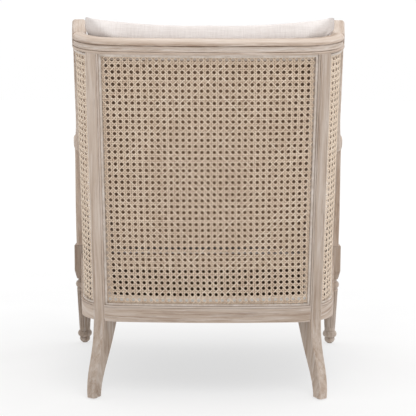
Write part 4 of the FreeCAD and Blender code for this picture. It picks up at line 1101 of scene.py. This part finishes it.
# ------------------------------------------------------------ deck and underside
def outline_of(node, normal):
    """The largest closed outline of a node's faces that look along normal, metres."""
    me = NODES[node].data
    co = coords(me)
    key = {}
    ids = [key.setdefault(tuple(np.round(p, 5)), len(key)) for p in co]
    pts = np.zeros((len(key), 3))
    for p, i in zip(co, ids):
        pts[i] = p
    count = {}
    n = Vector(normal)
    for poly in me.polygons:
        if poly.normal.dot(n) > 0.98:
            vs = [ids[i] for i in poly.vertices]
            for i in range(len(vs)):
                a, b = vs[i], vs[(i + 1) % len(vs)]
                if a != b:
                    count.setdefault(frozenset((a, b)), []).append((a, b))
    nxt = {}
    for c in count.values():
        if len(c) == 1:
            nxt[c[0][0]] = c[0][1]
    best = []
    while nxt:
        a, b = next(iter(nxt.items()))
        loop_ = [a]
        del nxt[a]
        while b in nxt:
            loop_.append(b)
            b = nxt.pop(b)
        if len(loop_) > len(best):
            best = loop_
    return pts[best]


def thin_sheet(name, top, tris, thick, mat):
    """Closed thin sheet: a surface, its copy below it, and the rim."""
    n = len(top)
    low = top - np.array([0, 0, thick])
    faces = [tuple(t) for t in tris] + [tuple(i + n for i in reversed(t)) for t in tris]
    use = {}
    for t in tris:
        for i in range(3):
            a, b = t[i], t[(i + 1) % 3]
            use.setdefault(frozenset((a, b)), []).append((a, b))
    for c in use.values():
        if len(c) == 1:
            a, b = c[0]
            faces.append((b, a, a + n, b + n))
    return mesh_object(name, np.vstack([top, low]), faces, mat)


def resample(ring3, step):
    seg = np.linalg.norm(np.diff(np.vstack([ring3, ring3[:1]]), axis=0), axis=1)
    out = []
    for i in range(len(ring3)):
        a, b = ring3[i], ring3[(i + 1) % len(ring3)]
        k = max(1, int(round(seg[i] / step)))
        for q in range(k):
            out.append(a + (b - a) * q / k)
    out = np.array(out)
    keep = [0]
    for i in range(1, len(out)):
        if np.linalg.norm(out[i] - out[keep[-1]]) > step * 0.2:
            keep.append(i)
    return out[keep]


def sheet_piece(name, node, normal, step, thick, mat, shape):
    o3 = resample(outline_of(node, normal), step * 1000 * 0.001)
    v, f, _ = fill_outline(o3[:, :2] * 1000.0, step * 1000.0)
    xy = v * 0.001
    a, b, c = o3[:, 0], o3[:, 1], o3[:, 2]
    coef = np.linalg.lstsq(np.stack([a, b, np.ones(len(a))], -1), c, rcond=None)[0]
    z = xy[:, 0] * coef[0] + xy[:, 1] * coef[1] + coef[2]
    # distance to the rim, so that the cloth is held there
    d = np.full(len(xy), 1e9)
    for i in range(0, len(o3), 64):
        d = np.minimum(d, np.linalg.norm(xy[:, None, :] - o3[None, i:i + 64, :2], axis=2).min(1))
    top = np.column_stack([xy, z + shape(xy, d)])
    tri = [t if np.cross(xy[t[1]] - xy[t[0]], xy[t[2]] - xy[t[0]]) > 0 else tuple(reversed(t)) for t in f]
    o = thin_sheet(name, top, tri, thick, mat)
    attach(o, "frame"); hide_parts(node)
    return o


def deck_shape(xy, d):
    p = np.column_stack([xy * 1000, np.zeros(len(xy))])
    return (-1.1 * smoothstep(0, 0.16, d) + 0.22 * waves(p, 31, 120.0) * smoothstep(0.0, 0.03, d)) * 0.001


def dust_shape(xy, d):
    p = np.column_stack([xy * 1000, np.zeros(len(xy))])
    k = smoothstep(0.012, 0.15, d)
    return (-3.0 * k + 0.7 * waves(p, 33, 160.0) * k) * 0.001


deck_normal = (0, math.sin(DK), math.cos(DK))


# webbing: straps that pass over and under each other
def straps(name, node, spec, mat):
    verts, faces, length = [], [], 0.0
    base = 0
    for p0, p1, across, phase in spec:
        p0, p1, across = np.array(p0), np.array(p1), np.array(across)
        n, m = 72, 6
        k = np.linspace(0, 1, n)
        h = phase(k)
        mid = p0 + (p1 - p0) * k[:, None] + h[:, None] * np.array(deck_normal)
        length += float(np.linalg.norm(p1 - p0))
        ws = np.linspace(-1, 1, m)
        edge = 1 - 0.25 * np.abs(ws) ** 6
        tops, lows = [], []
        for w_, e_ in zip(ws, edge):
            tops.append(mid + across * w_ + np.array(deck_normal) * 0.0009 * e_)
            lows.append(mid + across * w_ - np.array(deck_normal) * 0.0009 * e_)
        ringp = np.stack(tops + lows[::-1], 1)          # n, 2m, 3
        q = 2 * m
        verts.append(ringp.reshape(-1, 3))
        for i in range(n - 1):
            for j in range(q):
                l = (j + 1) % q
                faces.append((base + i * q + j, base + i * q + l, base + (i + 1) * q + l, base + (i + 1) * q + j))
        faces.append(tuple(base + j for j in reversed(range(q))))
        faces.append(tuple(base + (n - 1) * q + j for j in range(q)))
        base += n * q
    vv = np.vstack(verts)
    o = mesh_object(name, vv, faces, mat)
    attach(o, "frame"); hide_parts(node)
    return o, length


def deck_point(x, y, h):
    z = deck_z(y) + h / math.cos(DK)
    return (x * 0.001, (y + Y_SHIFT) * 0.001, z * 0.001)


XS, YS = (-255, -153, -51, 51, 153, 255), (-300, -205, -110, -15, 80)
spec = []
for n, x in enumerate(XS):
    y0, y1 = -373.0, 190.0 - 0.00019 * x * x
    if abs(x) > 200:
        y1 -= 34.0
    def phase(k, y0=y0, y1=y1, n=n):
        y = y0 + (y1 - y0) * k
        h = np.zeros_like(k)
        for m_, yc in enumerate(YS):
            h += (1 if (n + m_) % 2 else -1) * np.exp(-((y - yc) / 24.0) ** 4)
        return h * 0.00045
    spec.append((deck_point(x, y0, 1.8), deck_point(x, y1, 1.8), (0.026, 0, 0), phase))
sl, len_l = straps("webbing_lengthwise_straps", "webbing_lengthwise", spec, WEBBING)
spec = []
for m_, y in enumerate(YS):
    p = lean(np.array([[0.0, (y + Y_SHIFT) * 0.001, deck_z(y) * 0.001]]))
    hw = float(plan_half(p[1], RAIL_T + 5.0)[0]) if y < 60 else float(plan_half(p[1] - 26, RAIL_T + 5.0)[0]) - 2
    hw = min(hw, float(plan_half(p[1] - 26.0, RAIL_T + 5.0)[0]))
    def phase(k, hw=hw, m_=m_):
        x = -hw + 2 * hw * k
        h = np.zeros_like(k)
        for n, xc in enumerate(XS):
            h += (-1 if (n + m_) % 2 else 1) * np.exp(-((x - xc) / 24.0) ** 4)
        return h * 0.00045
    tang = np.array(deck_point(0, y + 26, 0)) - np.array(deck_point(0, y, 0))
    spec.append((deck_point(-hw, y, 2.6), deck_point(hw, y, 2.6), tuple(tang), phase))
sc_, len_c = straps("webbing_crosswise_straps", "webbing_crosswise", spec, WEBBING)

deck = sheet_piece("seat_deck_cloth", "deck_cloth", deck_normal, 0.014, 0.0012, DECK, deck_shape)
dust = sheet_piece("dust_cover_cloth", "dust_cover", (0, 0, 1), 0.016, 0.0010, DUST, dust_shape)

# ------------------------------------------------------------------ floor, light
fm, ft, fb = material("studio_floor")
fco = ft.new("ShaderNodeTexCoord").outputs["Object"]
ft.put(fb.inputs["Base Color"], ft.ramp(ft.noise(fco, 3.0, 2.0, 0.5), [(0.3, (0.30, 0.30, 0.30)), (0.7, (0.32, 0.32, 0.32))]))
fb.inputs["Roughness"].default_value = 0.9
fb.inputs["Specular IOR Level"].default_value = 0.0
fb.inputs["Emission Color"].default_value = (1, 1, 1, 1)
ft.put(fb.inputs["Emission Strength"], ft.fit(ft.vmath("LENGTH", fco), 0.6, 3.5, 0.63, 0.76))
floor = mesh_object("studio_floor", [(-30, -30, -0.0004), (30, -30, -0.0004), (30, 30, -0.0004), (-30, 30, -0.0004)], [(0, 1, 2, 3)], fm, False)

world_ = bpy.data.worlds.new("studio")
scene.world = world_
world_.use_nodes = True
bg = world_.node_tree.nodes["Background"]
wt = Tree(world_.node_tree)
wx, wy, wz = wt.split(wt.new("ShaderNodeTexCoord").outputs["Generated"])
ahead_ = wt.fit(wy, -0.30, 0.55, 1.0, 0.0)
above = wt.fit(wz, 0.0, 0.9, 0.0, 1.0)
level = wt.math("ADD", wt.math("MULTIPLY_ADD", ahead_, 0.56, 0.44), wt.math("MULTIPLY", above, 0.12))
level = wt.math("ADD", level, wt.math("MULTIPLY", wt.fit(wx, -0.2, -0.9), 0.14))
level = wt.math("ADD", level, wt.math("MULTIPLY", wt.fit(wt.math("ABSOLUTE", wx), 0.45, 1.0), 0.30))
# pale down to the floor all round
level = wt.math("MAXIMUM", level, wt.fit(wz, 0.07, 0.18, 0.95, 0.0))
wt.put(bg.inputs["Color"], wt.join(level, level, level))
bg.inputs["Strength"].default_value = 1.0


def area_light(name, loc, aim, size, watts):
    d = bpy.data.lights.new(name, "AREA")
    d.shape, d.size, d.energy = "DISK", size, watts
    o = bpy.data.objects.new(name, d)
    o.location = loc
    o.rotation_euler = (Vector(aim) - Vector(loc)).to_track_quat("-Z", "Y").to_euler()
    scene.collection.objects.link(o)
    return o


area_light("overhead", (-0.4, 1.5, 3.2), (0, 0.1, 0.6), 2.4, 40.0)
area_light("key", (-2.3, 2.6, 2.2), (0, 0.1, 0.5), 1.8, 4.0)

# ------------------------------------------------------------------------ camera
cam_d = bpy.data.cameras.new("camera")
cam = bpy.data.objects.new("camera", cam_d)
scene.collection.objects.link(cam)
cam_d.sensor_width = 36.0
cam_d.lens = 1100.0 / 416.0 * 36.0
cam_d.clip_start, cam_d.clip_end = 0.05, 100.0
cam.location = (0.0, 3.0 + Y_SHIFT * 0.001, 0.84)
cam.rotation_euler = (Matrix.Rotation(math.pi, 3, "Z") @ Matrix.Rotation(math.radians(83.0), 3, "X") @ Matrix.Rotation(math.radians(0.20), 3, "Z")).to_euler()
cam_d.shift_x = 0.25 / 416.0
scene.camera = cam
scene.view_settings.view_transform = "Standard"
scene.view_settings.look = "None"
scene.view_settings.exposure = 0.0
scene.view_settings.gamma = 1.0
